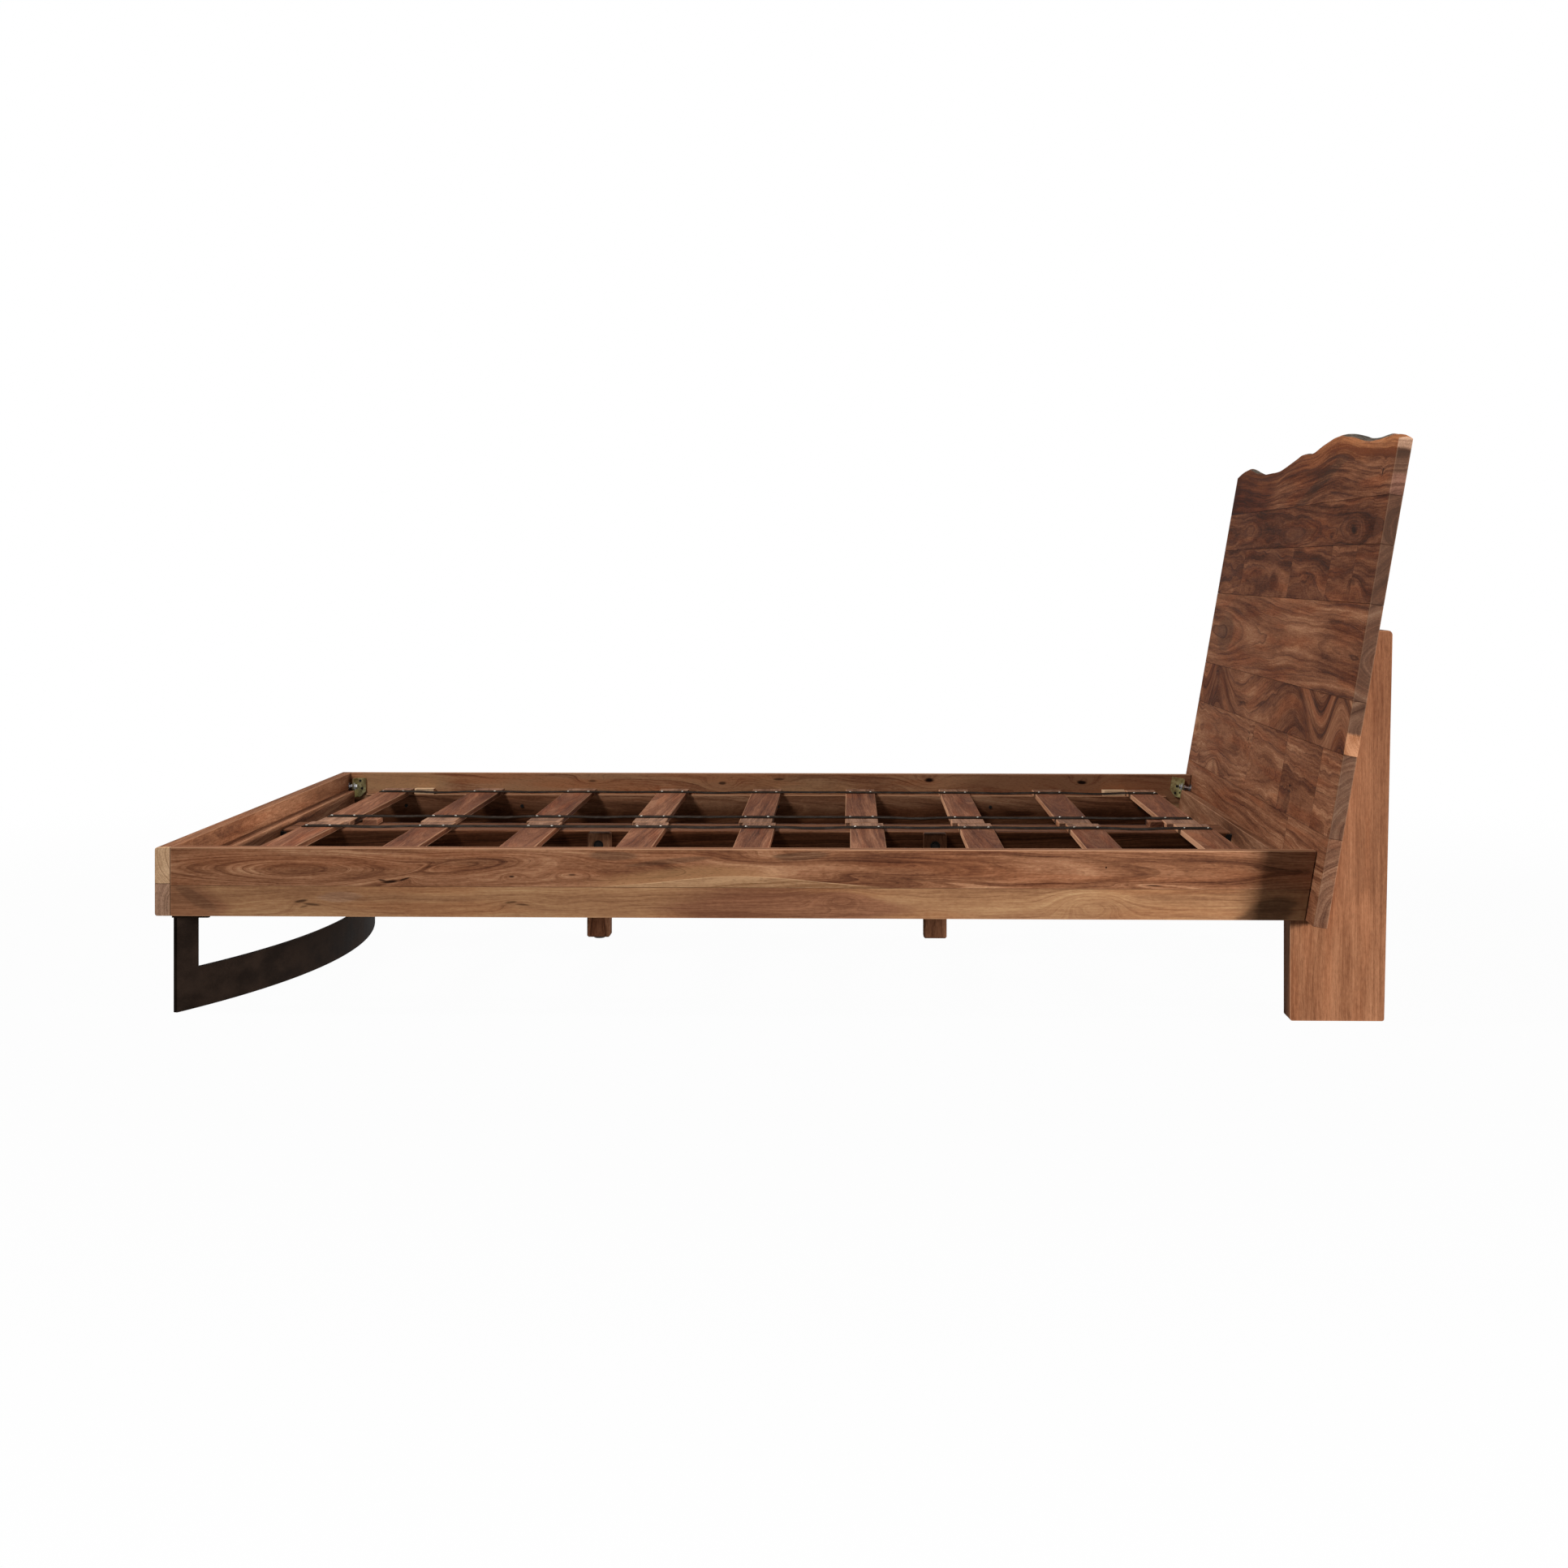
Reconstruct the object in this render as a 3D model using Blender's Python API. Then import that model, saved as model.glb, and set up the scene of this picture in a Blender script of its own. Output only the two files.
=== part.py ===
"""Platform bed with a leaning live-edge headboard, two wide rear posts and a rolled steel foot leg.

Units are metres.  X runs across the bed, the foot end lies at -Y, the headboard at +Y, and the
floor is Z = 0.  The origin is on the floor, in the middle of the bed's bounding box.
Every glued board, slat, strap, bracket and bolt is an object of its own.
"""
import math

import bmesh
import bpy
from mathutils import Matrix, Vector

# ---------------------------------------------------------------- driving dimensions
FIT_GAP = 0.0003              # clearance between two pieces that touch
BORE_CLEARANCE = 0.0003       # radial clearance of a bolt or stud in its hole

INNER_WIDTH = 1.545           # between the side rails: a 1.52 m mattress
INNER_LENGTH = 2.061          # foot rail to headboard, at the rails' top: a 2.03 m mattress
RAIL_BOTTOM = 0.1794          # height of the rails above the floor
RAIL_HEIGHT = 0.1237
RAIL_THICKNESS = 0.0275
SIDE_UPPER_BOARD = 0.069      # height of the upper board glued into a side rail
FOOT_UPPER_BOARD = 0.0655     # height of the upper board glued into the foot rail
RAIL_ROUND = 0.0045           # rounding of the rails' outer edges
EASE = 0.0010                 # small bevel that takes the sharpness off an edge
RAIL_END_GAP = 0.0020         # shadow gap between a side rail's end and the headboard

HEADBOARD_TILT = math.radians(9.9)
HEADBOARD_OVERHANG = 0.0720   # past the side rails' outer faces
PANEL_THICKNESS = 0.0244
BOARD_WIDTHS = (0.1567, 0.1481, 0.0966, 0.1726, 0.1070, 0.0885)   # glued boards, from the bottom up
LIVE_EDGE_HEIGHT = 0.131      # the natural edge's highest crest above the slab's seam, on the front
LIVE_EDGE = (                 # shares of half the width and of that height: place, front, rise of the back
    (-1.00, 0.71, 0.09), (-0.97, 0.74, 0.14), (-0.91, 0.79, 0.10), (-0.83, 0.82, 0.02),
    (-0.77, 0.81, -0.03), (-0.69, 0.74, -0.02), (-0.60, 0.67, 0.00), (-0.46, 0.66, 0.00),
    (-0.33, 0.66, 0.00), (-0.24, 0.71, 0.05), (-0.17, 0.76, 0.12), (-0.10, 0.81, 0.10),
    (-0.05, 0.85, 0.05), (0.01, 0.85, 0.00), (0.10, 0.84, 0.00), (0.20, 0.92, 0.00),
    (0.28, 0.97, 0.07), (0.33, 1.00, 0.07), (0.39, 1.00, 0.06), (0.47, 0.95, 0.08),
    (0.55, 0.89, 0.09), (0.61, 0.83, 0.10), (0.67, 0.80, 0.10), (0.73, 0.79, 0.10),
    (0.79, 0.76, 0.15), (0.84, 0.77, 0.14), (0.89, 0.81, 0.06), (0.96, 0.81, 0.02),
    (1.00, 0.76, 0.02),
)
LIVE_EDGE_STEPS = 96          # samples across the slab
LIVE_EDGE_CROWN = 0.0030      # how far the middle of the waney top stands above its two edges
CROWN_STEPS = 4               # samples over its thickness

POST_THICKNESS = 0.062
POST_INSET = 0.003            # the post's outer face lies this far inside the rail's
POST_HEIGHT = 0.6965
POST_DEPTH = 0.167            # front to back at the floor
POST_TOE_REACH = 0.027        # how far the toe stands in front of the headboard's foot
POST_BACK_LEAN = math.radians(1.25)
POST_ROUND = 0.010            # rounding of the post's tall outer edges
POST_CORNER = 0.004           # rounding of the corners of its outline

LEG_PLATE = 0.0080            # thickness of the steel leg
LEG_INSET = 0.0300            # from the side rail's outer face to the leg's end
LEG_SAGITTA = 0.172           # how far the arc bulges toward the head
LEG_END_SETBACK = 0.026       # from the foot rail's front to the plate's end
LEG_BAND_HEIGHT = 0.0745
LEG_UPRIGHT_WIDTH = 0.060
LEG_FLANGE = 0.0060
LEG_FLANGE_LENGTH = 0.078     # across the bed
LEG_FLANGE_DEPTH = 0.060      # along the bed
LEG_ARC_STEPS = 44

SLAT_TOP_DROP = 0.0365        # rail top down to slat top
SLAT_THICKNESS = 0.0120
SLAT_WIDTH = 0.0700
SLAT_COUNT = 9
ROLLS = (                     # first and second slat from the foot rail's front, last from the headboard
    ("near", 1, 0.1410, 0.3805, 0.1084),
    ("far", -1, 0.1510, 0.3735, 0.1217),
)
SLAT_END_PLAY = 0.0020        # slat end to side rail
ROLL_GAP = 0.0120             # between the two rolls, over the beam
SLAT_EASE = 0.0012

STRAP_WIDTH = 0.0500
STRAP_THICKNESS = 0.0015
STRAP_TO_ROLL_END = 0.0940    # inner straps' centre line from the slats' inner ends
STRAP_TO_RAIL = 0.0975        # outer straps' centre line from the side rails
STRAP_END = 0.0040            # the strap stops this far inside the outer slats' edges

LEDGER_WIDTH = 0.0320
LEDGER_START = 0.0450         # from the foot rail's inner face
LEDGER_END = 0.0660           # short of the headboard at the rails' top
CLEAT_THICKNESS = 0.0250
CLEAT_SHOULDER = 0.0120       # cleats stand this much above the ledgers
FOOT_CLEAT_ROOM = 0.0425      # from a cleat's end to the corner bracket
HEAD_CLEAT_ROOM = 0.0125

BEAM_WIDTH = 0.1620
BEAM_HEIGHT = 0.0500
BEAM_NEAR_FACE = 0.0580       # across the bed
BEAM_ROUND = 0.0070
HANGER_WALL = 0.0030
HANGER_STRAP = 0.0090         # width of the steel strap round the beam's end
HANGER_DROP = 0.0040          # the strap's ends stop this far below the beam's top

CENTRE_LEG_WIDTH = 0.0480
CENTRE_LEG_DEPTH = 0.0450
CENTRE_LEG_SPACING = 0.7020
CENTRE_LEG_SHIFT = 0.0235     # the pair's middle lies this far headward of the frame's middle
CENTRE_LEG_CLEARANCE = 0.0370   # leg bottom to floor
CENTRE_LEG_ROUND = 0.0030

BOLT_RADIUS = 0.0040
BOLT_HEAD_RADIUS = 0.0065
BOLT_HEAD_HEIGHT = 0.0050
WASHER_RADIUS = 0.0100
WASHER_THICKNESS = 0.0016
LEG_BOLT_DROP = 0.0250        # bolt below the beam's top
LEG_BOLT_BITE = 0.0300        # how deep the bolt goes into the beam
BRACKET_BOLT_BITE = 0.0170    # how deep it goes into the foot rail or the headboard

GLIDE_RADIUS = 0.0120
GLIDE_THICKNESS = 0.0050
GLIDE_OUT = (0.0043, 0.0002)  # how far each glide is screwed out below its leg
GLIDE_STUD_LENGTH = 0.0550
GLIDE_POCKET_DEPTH = 0.0056
GLIDE_POCKET_RADIUS = 0.0130
STUD_BORE_DEPTH = 0.0640

BRACKET_PLATE = 0.0025
BRACKET_HEIGHT = 0.0470
BRACKET_SIDE = 0.0280         # flange on the side rail
BRACKET_FACE = 0.0300         # flange toward the foot rail or headboard
BRACKET_TOP_DROP = 0.0120     # below the rails' top
BRACKET_CUT = 0.0150          # diagonal cut of its lower corner
FOOT_BRACKET_STANDOFF = 0.0105
HEAD_BRACKET_STANDOFF = 0.0190
BRACKET_BOLT_DROP = 0.0200    # below the bracket's top

ROUND_SIDES = 24

# ---------------------------------------------------------------- derived levels and places
RAIL_TOP = RAIL_BOTTOM + RAIL_HEIGHT
RAIL_INNER = INNER_WIDTH / 2
RAIL_OUTER = RAIL_INNER + RAIL_THICKNESS
HEADBOARD_WIDTH = 2 * (RAIL_OUTER + HEADBOARD_OVERHANG)
LEG_HALF_SPAN = RAIL_OUTER - LEG_INSET
FOOT_CLEAT_HALF = RAIL_INNER - BRACKET_FACE - FOOT_CLEAT_ROOM
HEAD_CLEAT_HALF = RAIL_INNER - BRACKET_FACE - HEAD_CLEAT_ROOM
SLAT_TOP = RAIL_TOP - SLAT_TOP_DROP
BEARER_TOP = SLAT_TOP - SLAT_THICKNESS - FIT_GAP
CLEAT_TOP = BEARER_TOP + CLEAT_SHOULDER
BEAM_FAR_FACE = BEAM_NEAR_FACE - BEAM_WIDTH
BEAM_BOTTOM = BEARER_TOP - BEAM_HEIGHT
SIN_TILT, COS_TILT, TAN_TILT = (f(HEADBOARD_TILT) for f in (math.sin, math.cos, math.tan))
SLAB_BOTTOM = sum(BOARD_WIDTHS)


def live_edge_at(share, column):
    """One column of the waney edge at a share of the half width, on a smooth curve through its points."""
    points = LIVE_EDGE
    last = len(points) - 1
    seat = max(i for i in range(last) if points[i][0] <= share or i == 0)
    before, start = points[max(seat - 1, 0)], points[seat]
    end, after = points[seat + 1], points[min(seat + 2, last)]
    span = end[0] - start[0]
    t = (share - start[0]) / span
    slope_in = (end[column] - before[column]) / (end[0] - before[0]) * span
    slope_out = (after[column] - start[column]) / (after[0] - start[0]) * span
    return ((2 * t**3 - 3 * t**2 + 1) * start[column] + (t**3 - 2 * t**2 + t) * slope_in
            + (3 * t**2 - 2 * t**3) * end[column] + (t**3 - t**2) * slope_out)


def live_edge_rows():
    """Rows of (across, depth, height) over the slab's top: front edge, crown and back edge."""
    rows = []
    for step in range(LIVE_EDGE_STEPS + 1):
        share = 2 * step / LIVE_EDGE_STEPS - 1
        across = share * HEADBOARD_WIDTH / 2
        front = SLAB_BOTTOM + LIVE_EDGE_HEIGHT * live_edge_at(share, 1)
        rise = LIVE_EDGE_HEIGHT * live_edge_at(share, 2)
        row = []
        for part in range(CROWN_STEPS + 1):
            t = part / CROWN_STEPS
            height = front + rise * t * t * (3 - 2 * t) + LIVE_EDGE_CROWN * 4 * t * (1 - t)
            row.append((across, PANEL_THICKNESS * t, height))
        rows.append(row)
    return rows


def headboard_reach():
    """How far the headboard's top leans back behind the foot of its front face."""
    return max(height * SIN_TILT + depth * COS_TILT
               for row in live_edge_rows() for _, depth, height in row)


PANEL_FOOT_FROM_FRONT = RAIL_THICKNESS + INNER_LENGTH - RAIL_HEIGHT * TAN_TILT
OVERALL_LENGTH = PANEL_FOOT_FROM_FRONT + headboard_reach()
FOOT_FRONT = -OVERALL_LENGTH / 2
FOOT_INNER = FOOT_FRONT + RAIL_THICKNESS
PANEL_FOOT = FOOT_FRONT + PANEL_FOOT_FROM_FRONT
CENTRE_LEG_MIDDLE = FOOT_INNER + INNER_LENGTH / 2 + CENTRE_LEG_SHIFT
CENTRE_LEG_PLACES = (CENTRE_LEG_MIDDLE - CENTRE_LEG_SPACING / 2, CENTRE_LEG_MIDDLE + CENTRE_LEG_SPACING / 2)


def panel_front(height):
    """Y of the headboard's front face at a height above the floor."""
    return PANEL_FOOT + (height - RAIL_BOTTOM) * TAN_TILT


# ---------------------------------------------------------------- materials
def finish(name, colour, roughness, metallic=0.0):
    material = bpy.data.materials.new(name)
    material.use_nodes = True
    shader = material.node_tree.nodes["Principled BSDF"]
    shader.inputs["Base Color"].default_value = (*colour, 1.0)
    shader.inputs["Roughness"].default_value = roughness
    shader.inputs["Metallic"].default_value = metallic
    material.diffuse_color = (*colour, 1.0)
    material.metallic = metallic
    material.roughness = roughness
    return material


def make_finishes():
    return {
        "rail_upper": finish("acacia_red_brown", (0.223, 0.092, 0.045), 0.48),
        "rail_lower": finish("acacia_tan", (0.296, 0.155, 0.072), 0.50),
        "sapwood": finish("acacia_sapwood", (0.500, 0.330, 0.170), 0.52),
        "headboard": finish("acacia_dark_figured", (0.125, 0.052, 0.029), 0.46),
        "live_edge": finish("acacia_live_edge", (0.180, 0.076, 0.036), 0.46),
        "post": finish("acacia_warm", (0.390, 0.170, 0.080), 0.50),
        "inner_wood": finish("acacia_plain", (0.170, 0.070, 0.036), 0.55),
        "slat": finish("slat_wood", (0.235, 0.115, 0.070), 0.55),
        "webbing": finish("black_webbing", (0.030, 0.028, 0.026), 0.70),
        "steel": finish("blackened_steel", (0.018, 0.013, 0.010), 0.38, 0.85),
        "zinc": finish("yellow_zinc", (0.360, 0.330, 0.160), 0.35, 0.90),
        "bolt": finish("bright_zinc", (0.600, 0.600, 0.590), 0.28, 1.0),
        "black_bolt": finish("black_oxide", (0.020, 0.020, 0.022), 0.40, 0.80),
        "plastic": finish("black_plastic", (0.015, 0.015, 0.016), 0.55),
    }


# ---------------------------------------------------------------- geometry helpers
def add_object(name, mesh_data, material, location=(0, 0, 0), parent=None):
    """Turn a bmesh into an object, with its faces outward, and link it to the scene."""
    bmesh.ops.recalc_face_normals(mesh_data, faces=mesh_data.faces)
    mesh = bpy.data.meshes.new(name)
    mesh_data.to_mesh(mesh)
    mesh_data.free()
    mesh.materials.append(material)
    part = bpy.data.objects.new(name, mesh)
    bpy.context.collection.objects.link(part)
    part.location = location
    part.parent = parent
    return part


def rounded_outline(corners, steps=3):
    """Outline from (a, b, radius) corners, each radius turned into an arc of a few points."""
    outline = []
    count = len(corners)
    for index, (a, b, radius) in enumerate(corners):
        corner = Vector((a, b))
        if radius == 0:
            outline.append(corner)
            continue
        before = (Vector(corners[index - 1][:2]) - corner).normalized()
        after = (Vector(corners[(index + 1) % count][:2]) - corner).normalized()
        half_angle = before.angle(after) / 2
        centre = corner + (before + after).normalized() * radius / math.sin(half_angle)
        start = corner + before * radius / math.tan(half_angle) - centre
        end = corner + after * radius / math.tan(half_angle) - centre
        turn = start.angle_signed(end)
        for step in range(steps + 1):
            outline.append(centre + Matrix.Rotation(-turn * step / steps, 2) @ start)
    return outline


def extrusion(outline, low, high, axis="X"):
    """Closed prism: an outline in the other two axes, drawn out from low to high along one axis."""
    def place(point, along):
        if axis == "X":
            return (along, point[0], point[1])
        if axis == "Y":
            return (point[0], along, point[1])
        return (point[0], point[1], along)

    solid = bmesh.new()
    near = [solid.verts.new(place(point, low)) for point in outline]
    far = [solid.verts.new(place(point, high)) for point in outline]
    solid.faces.new(near)
    solid.faces.new(reversed(far))
    count = len(outline)
    for index in range(count):
        following = (index + 1) % count
        solid.faces.new((near[index], near[following], far[following], far[index]))
    return solid


def bevel_edges(solid, choose, width, segments=1):
    """Bevel the edges for which choose(edge) is true."""
    edges = [edge for edge in solid.edges if choose(edge)]
    bmesh.ops.bevel(solid, geom=edges, offset=width, segments=segments, profile=0.5,
                    affect="EDGES", clamp_overlap=True)
    return solid


def is_end_edge(axis_index, low, high):
    """Chooser for the edges around the two ends of a prism."""
    def choose(edge):
        places = [vert.co[axis_index] for vert in edge.verts]
        return any(all(abs(place - end) < 1e-6 for place in places) for end in (low, high))
    return choose


def box(low, high, ease=0.0):
    """Closed box between two corners, with all its edges eased."""
    corners = [(low[1], low[2]), (high[1], low[2]), (high[1], high[2]), (low[1], high[2])]
    solid = extrusion(corners, low[0], high[0])
    if ease:
        bevel_edges(solid, lambda edge: True, ease)
    return solid


def turned(sections):
    """Closed round or six-sided solid on Z from (height, radius, is_hexagon) sections."""
    solid = bmesh.new()
    loops = []
    for height, radius, is_hexagon in sections:
        loop = []
        for side in range(ROUND_SIDES):
            angle = 2 * math.pi * side / ROUND_SIDES
            reach = radius
            if is_hexagon:
                off_flat = (angle % (math.pi / 3)) - math.pi / 6
                reach = radius * math.cos(math.pi / 6) / math.cos(off_flat)
            loop.append(solid.verts.new((reach * math.cos(angle), reach * math.sin(angle), height)))
        loops.append(loop)
    for lower, upper in zip(loops, loops[1:]):
        for side in range(ROUND_SIDES):
            following = (side + 1) % ROUND_SIDES
            solid.faces.new((lower[side], lower[following], upper[following], upper[side]))
    solid.faces.new(reversed(loops[0]))
    solid.faces.new(loops[-1])
    return solid


def shade_round(part, sharp_degrees=35):
    part.data.shade_smooth()
    part.data.set_sharp_from_angle(angle=math.radians(sharp_degrees))
    return part


def combine(part, tool_solid, operation, tool_name, location=(0, 0, 0), rotation=(0, 0, 0), parent=None):
    """Cut or join a helper solid with an exact Boolean; the helper itself isn't part of the bed."""
    helper = add_object(tool_name, tool_solid, part.data.materials[0], location, parent)
    helper.rotation_euler = rotation
    helper.hide_render = True
    helper.display_type = "WIRE"
    boolean = part.modifiers.new(tool_name, "BOOLEAN")
    boolean.operation = operation
    boolean.solver = "EXACT"
    boolean.object = helper
    return part


def add_empty(name, location, rotation=(0, 0, 0)):
    empty = bpy.data.objects.new(name, None)
    bpy.context.collection.objects.link(empty)
    empty.location = location
    empty.rotation_euler = rotation
    return empty


def bolt(name, material, head_side, bite, location, rotation, parent=None, extra=()):
    """Hexagon bolt with its washer.  Z points out of the head; the seat is Z = 0."""
    shank = [(-bite, BOLT_RADIUS * 0.8, False), (-bite + 0.001, BOLT_RADIUS, False)]
    washer = [(0.0, BOLT_RADIUS, False), (0.0, WASHER_RADIUS, False),
              (WASHER_THICKNESS, WASHER_RADIUS, False)]
    head = [(WASHER_THICKNESS, BOLT_HEAD_RADIUS, True),
            (WASHER_THICKNESS + head_side - 0.0006, BOLT_HEAD_RADIUS, True),
            (WASHER_THICKNESS + head_side, BOLT_HEAD_RADIUS - 0.0008, True)]
    part = add_object(name, turned(shank + list(extra) + washer + head), material, location, parent)
    part.rotation_euler = rotation
    return shade_round(part)


# ---------------------------------------------------------------- rails
def make_foot_rail(finishes):
    """Two boards glued edge to edge, capping the ends of the side rails."""
    seam = RAIL_TOP - FOOT_UPPER_BOARD
    back = FOOT_INNER
    upper = rounded_outline([
        (FOOT_FRONT, seam + FIT_GAP / 2, 0), (back, seam + FIT_GAP / 2, 0),
        (back, RAIL_TOP, EASE), (FOOT_FRONT, RAIL_TOP, RAIL_ROUND)])
    lower = rounded_outline([
        (FOOT_FRONT, RAIL_BOTTOM, RAIL_ROUND), (back, RAIL_BOTTOM, EASE),
        (back, seam - FIT_GAP / 2, 0), (FOOT_FRONT, seam - FIT_GAP / 2, 0)])
    boards = []
    for name, outline, look in (("foot_rail_upper_board", upper, "sapwood"),
                                ("foot_rail_lower_board", lower, "rail_upper")):
        solid = extrusion(outline, -RAIL_OUTER, RAIL_OUTER)
        bevel_edges(solid, is_end_edge(0, -RAIL_OUTER, RAIL_OUTER), EASE * 0.7)
        boards.append(add_object(name, solid, finishes[look]))
    for side, label in ((1, "near"), (-1, "far")):
        hole = turned([(-0.001 - BRACKET_BOLT_BITE, BOLT_RADIUS + BORE_CLEARANCE, False),
                       (0.01, BOLT_RADIUS + BORE_CLEARANCE, False)])
        combine(boards[0], hole, "DIFFERENCE", f"foot_bolt_hole_{label}",
                (side * bracket_bolt_across(), FOOT_INNER, bracket_bolt_height()),
                (-math.pi / 2, 0, 0))


def make_side_rails(finishes):
    """Two boards glued edge to edge; the head end is cut to the headboard's lean."""
    seam = RAIL_TOP - SIDE_UPPER_BOARD
    foot_end = FOOT_INNER + FIT_GAP

    def head_end(height):
        return panel_front(height) - RAIL_END_GAP

    upper = rounded_outline([
        (foot_end, seam + FIT_GAP / 2, 0), (head_end(seam + FIT_GAP / 2), seam + FIT_GAP / 2, 0),
        (head_end(RAIL_TOP), RAIL_TOP, EASE), (foot_end, RAIL_TOP, EASE)])
    lower = rounded_outline([
        (foot_end, RAIL_BOTTOM, EASE), (head_end(RAIL_BOTTOM), RAIL_BOTTOM, EASE),
        (head_end(seam - FIT_GAP / 2), seam - FIT_GAP / 2, 0), (foot_end, seam - FIT_GAP / 2, 0)])
    for side, label in ((1, "near"), (-1, "far")):
        for level, outline, look, edge_height in (("upper", upper, "rail_upper", RAIL_TOP),
                                                  ("lower", lower, "rail_lower", RAIL_BOTTOM)):
            inner, outer = sorted((side * RAIL_INNER, side * RAIL_OUTER))
            solid = extrusion(outline, inner, outer)

            def is_long_outer_edge(edge, height=edge_height):
                heights = [vert.co.z for vert in edge.verts]
                across = [vert.co.x for vert in edge.verts]
                return (all(abs(z - height) < 1e-6 for z in heights)
                        and all(abs(x - side * RAIL_OUTER) < 1e-6 for x in across))

            bevel_edges(solid, is_long_outer_edge, EASE * 2, 2)
            add_object(f"side_rail_{label}_{level}_board", solid, finishes[look])


# ---------------------------------------------------------------- headboard
def make_headboard(finishes):
    """Glued boards and the waney-edged slab, built upright on an empty that leans back."""
    lean = add_empty("headboard_lean", (0, PANEL_FOOT, RAIL_BOTTOM), (-HEADBOARD_TILT, 0, 0))
    half = HEADBOARD_WIDTH / 2
    boards = []
    level = 0.0
    for index, width in enumerate(BOARD_WIDTHS):
        gap = FIT_GAP if index else 0.0
        solid = box((-half, 0, gap), (half, PANEL_THICKNESS, width), EASE * 0.5)
        boards.append(add_object(f"headboard_board_{index + 1}", solid, finishes["headboard"],
                                 (0, 0, level), lean))
        level += width
    make_live_edge_slab(finishes, lean)
    for side, label in ((1, "near"), (-1, "far")):
        hole = turned([(-0.001 - BRACKET_BOLT_BITE, BOLT_RADIUS + BORE_CLEARANCE, False),
                       (0.01, BOLT_RADIUS + BORE_CLEARANCE, False)])
        combine(boards[0], hole, "DIFFERENCE", f"head_bolt_hole_{label}",
                (side * bracket_bolt_across(), 0, head_bolt_height()), (math.pi / 2, 0, 0), lean)
    return lean


def make_live_edge_slab(finishes, lean):
    """Top slab of the headboard: flat faces and ends, waney top."""
    solid = bmesh.new()
    bottom = SLAB_BOTTOM + FIT_GAP
    rings = []
    for row in live_edge_rows():
        across = row[0][0]
        ring = [(across, 0.0, bottom), *row, (across, PANEL_THICKNESS, bottom)]
        rings.append([solid.verts.new(point) for point in ring])
    for ring, following in zip(rings, rings[1:]):
        for index in range(len(ring)):
            other = (index + 1) % len(ring)
            solid.faces.new((ring[index], ring[other], following[other], following[index]))
    solid.faces.new(rings[0])
    solid.faces.new(reversed(rings[-1]))
    shade_round(add_object("live_edge_slab", solid, finishes["live_edge"], parent=lean))


def make_posts(finishes):
    """Wide upright posts, notched to the headboard's back, with a toe under the rails."""
    front = PANEL_FOOT - POST_TOE_REACH
    toe_top = RAIL_BOTTOM - FIT_GAP
    clear = FIT_GAP / COS_TILT

    def back_at(height):
        return front + POST_DEPTH + height * math.tan(POST_BACK_LEAN)

    def notch_at(height):
        return panel_front(height) + PANEL_THICKNESS / COS_TILT + clear

    panel_corner = RAIL_BOTTOM - PANEL_THICKNESS * SIN_TILT
    below_corner = panel_corner - FIT_GAP
    outline = rounded_outline([
        (front, 0, POST_CORNER), (back_at(0), 0, POST_CORNER),
        (back_at(POST_HEIGHT), POST_HEIGHT, POST_CORNER * 2),
        (notch_at(POST_HEIGHT), POST_HEIGHT, POST_CORNER / 2),
        (notch_at(below_corner), below_corner, 0),
        (PANEL_FOOT - FIT_GAP, toe_top, 0),
        (front, toe_top, POST_CORNER / 2)])
    outer = RAIL_OUTER - POST_INSET
    for side, label in ((1, "near"), (-1, "far")):
        low, high = sorted((side * outer, side * (outer - POST_THICKNESS)))
        solid = extrusion(outline, low, high)
        at_end = is_end_edge(0, low, high)

        def is_tall_edge(edge):
            a, b = (vert.co for vert in edge.verts)
            on_back = all(abs(v.y - back_at(v.z)) < 1e-5 for v in (a, b))
            on_toe = all(abs(v.y - front) < 1e-5 for v in (a, b))
            return at_end(edge) and (on_back or on_toe)

        bevel_edges(solid, is_tall_edge, POST_ROUND, 4)
        shade_round(add_object(f"headboard_post_{label}", solid, finishes["post"]))


# ---------------------------------------------------------------- bearers
def make_ledgers_and_cleats(finishes, lean):
    start = FOOT_INNER + LEDGER_START
    end = panel_front(RAIL_TOP) - LEDGER_END
    for side, label in ((1, "near"), (-1, "far")):
        low, high = sorted((side * (RAIL_INNER - FIT_GAP), side * (RAIL_INNER - LEDGER_WIDTH)))
        add_object(f"side_ledger_{label}",
                   box((low, start, RAIL_BOTTOM), (high, end, BEARER_TOP), EASE),
                   finishes["inner_wood"])
    add_object("foot_cleat",
               box((-FOOT_CLEAT_HALF, FOOT_INNER + FIT_GAP, RAIL_BOTTOM),
                   (FOOT_CLEAT_HALF, FOOT_INNER + CLEAT_THICKNESS, CLEAT_TOP), EASE),
               finishes["inner_wood"])
    add_object("head_cleat",
               box((-HEAD_CLEAT_HALF, -CLEAT_THICKNESS, 0),
                   (HEAD_CLEAT_HALF, -FIT_GAP, (CLEAT_TOP - RAIL_BOTTOM) / COS_TILT), EASE),
               finishes["inner_wood"], parent=lean)


def cleat_face(height):
    """Y of the head cleat's front face at a height above the floor."""
    return panel_front(height) - CLEAT_THICKNESS / COS_TILT


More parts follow.
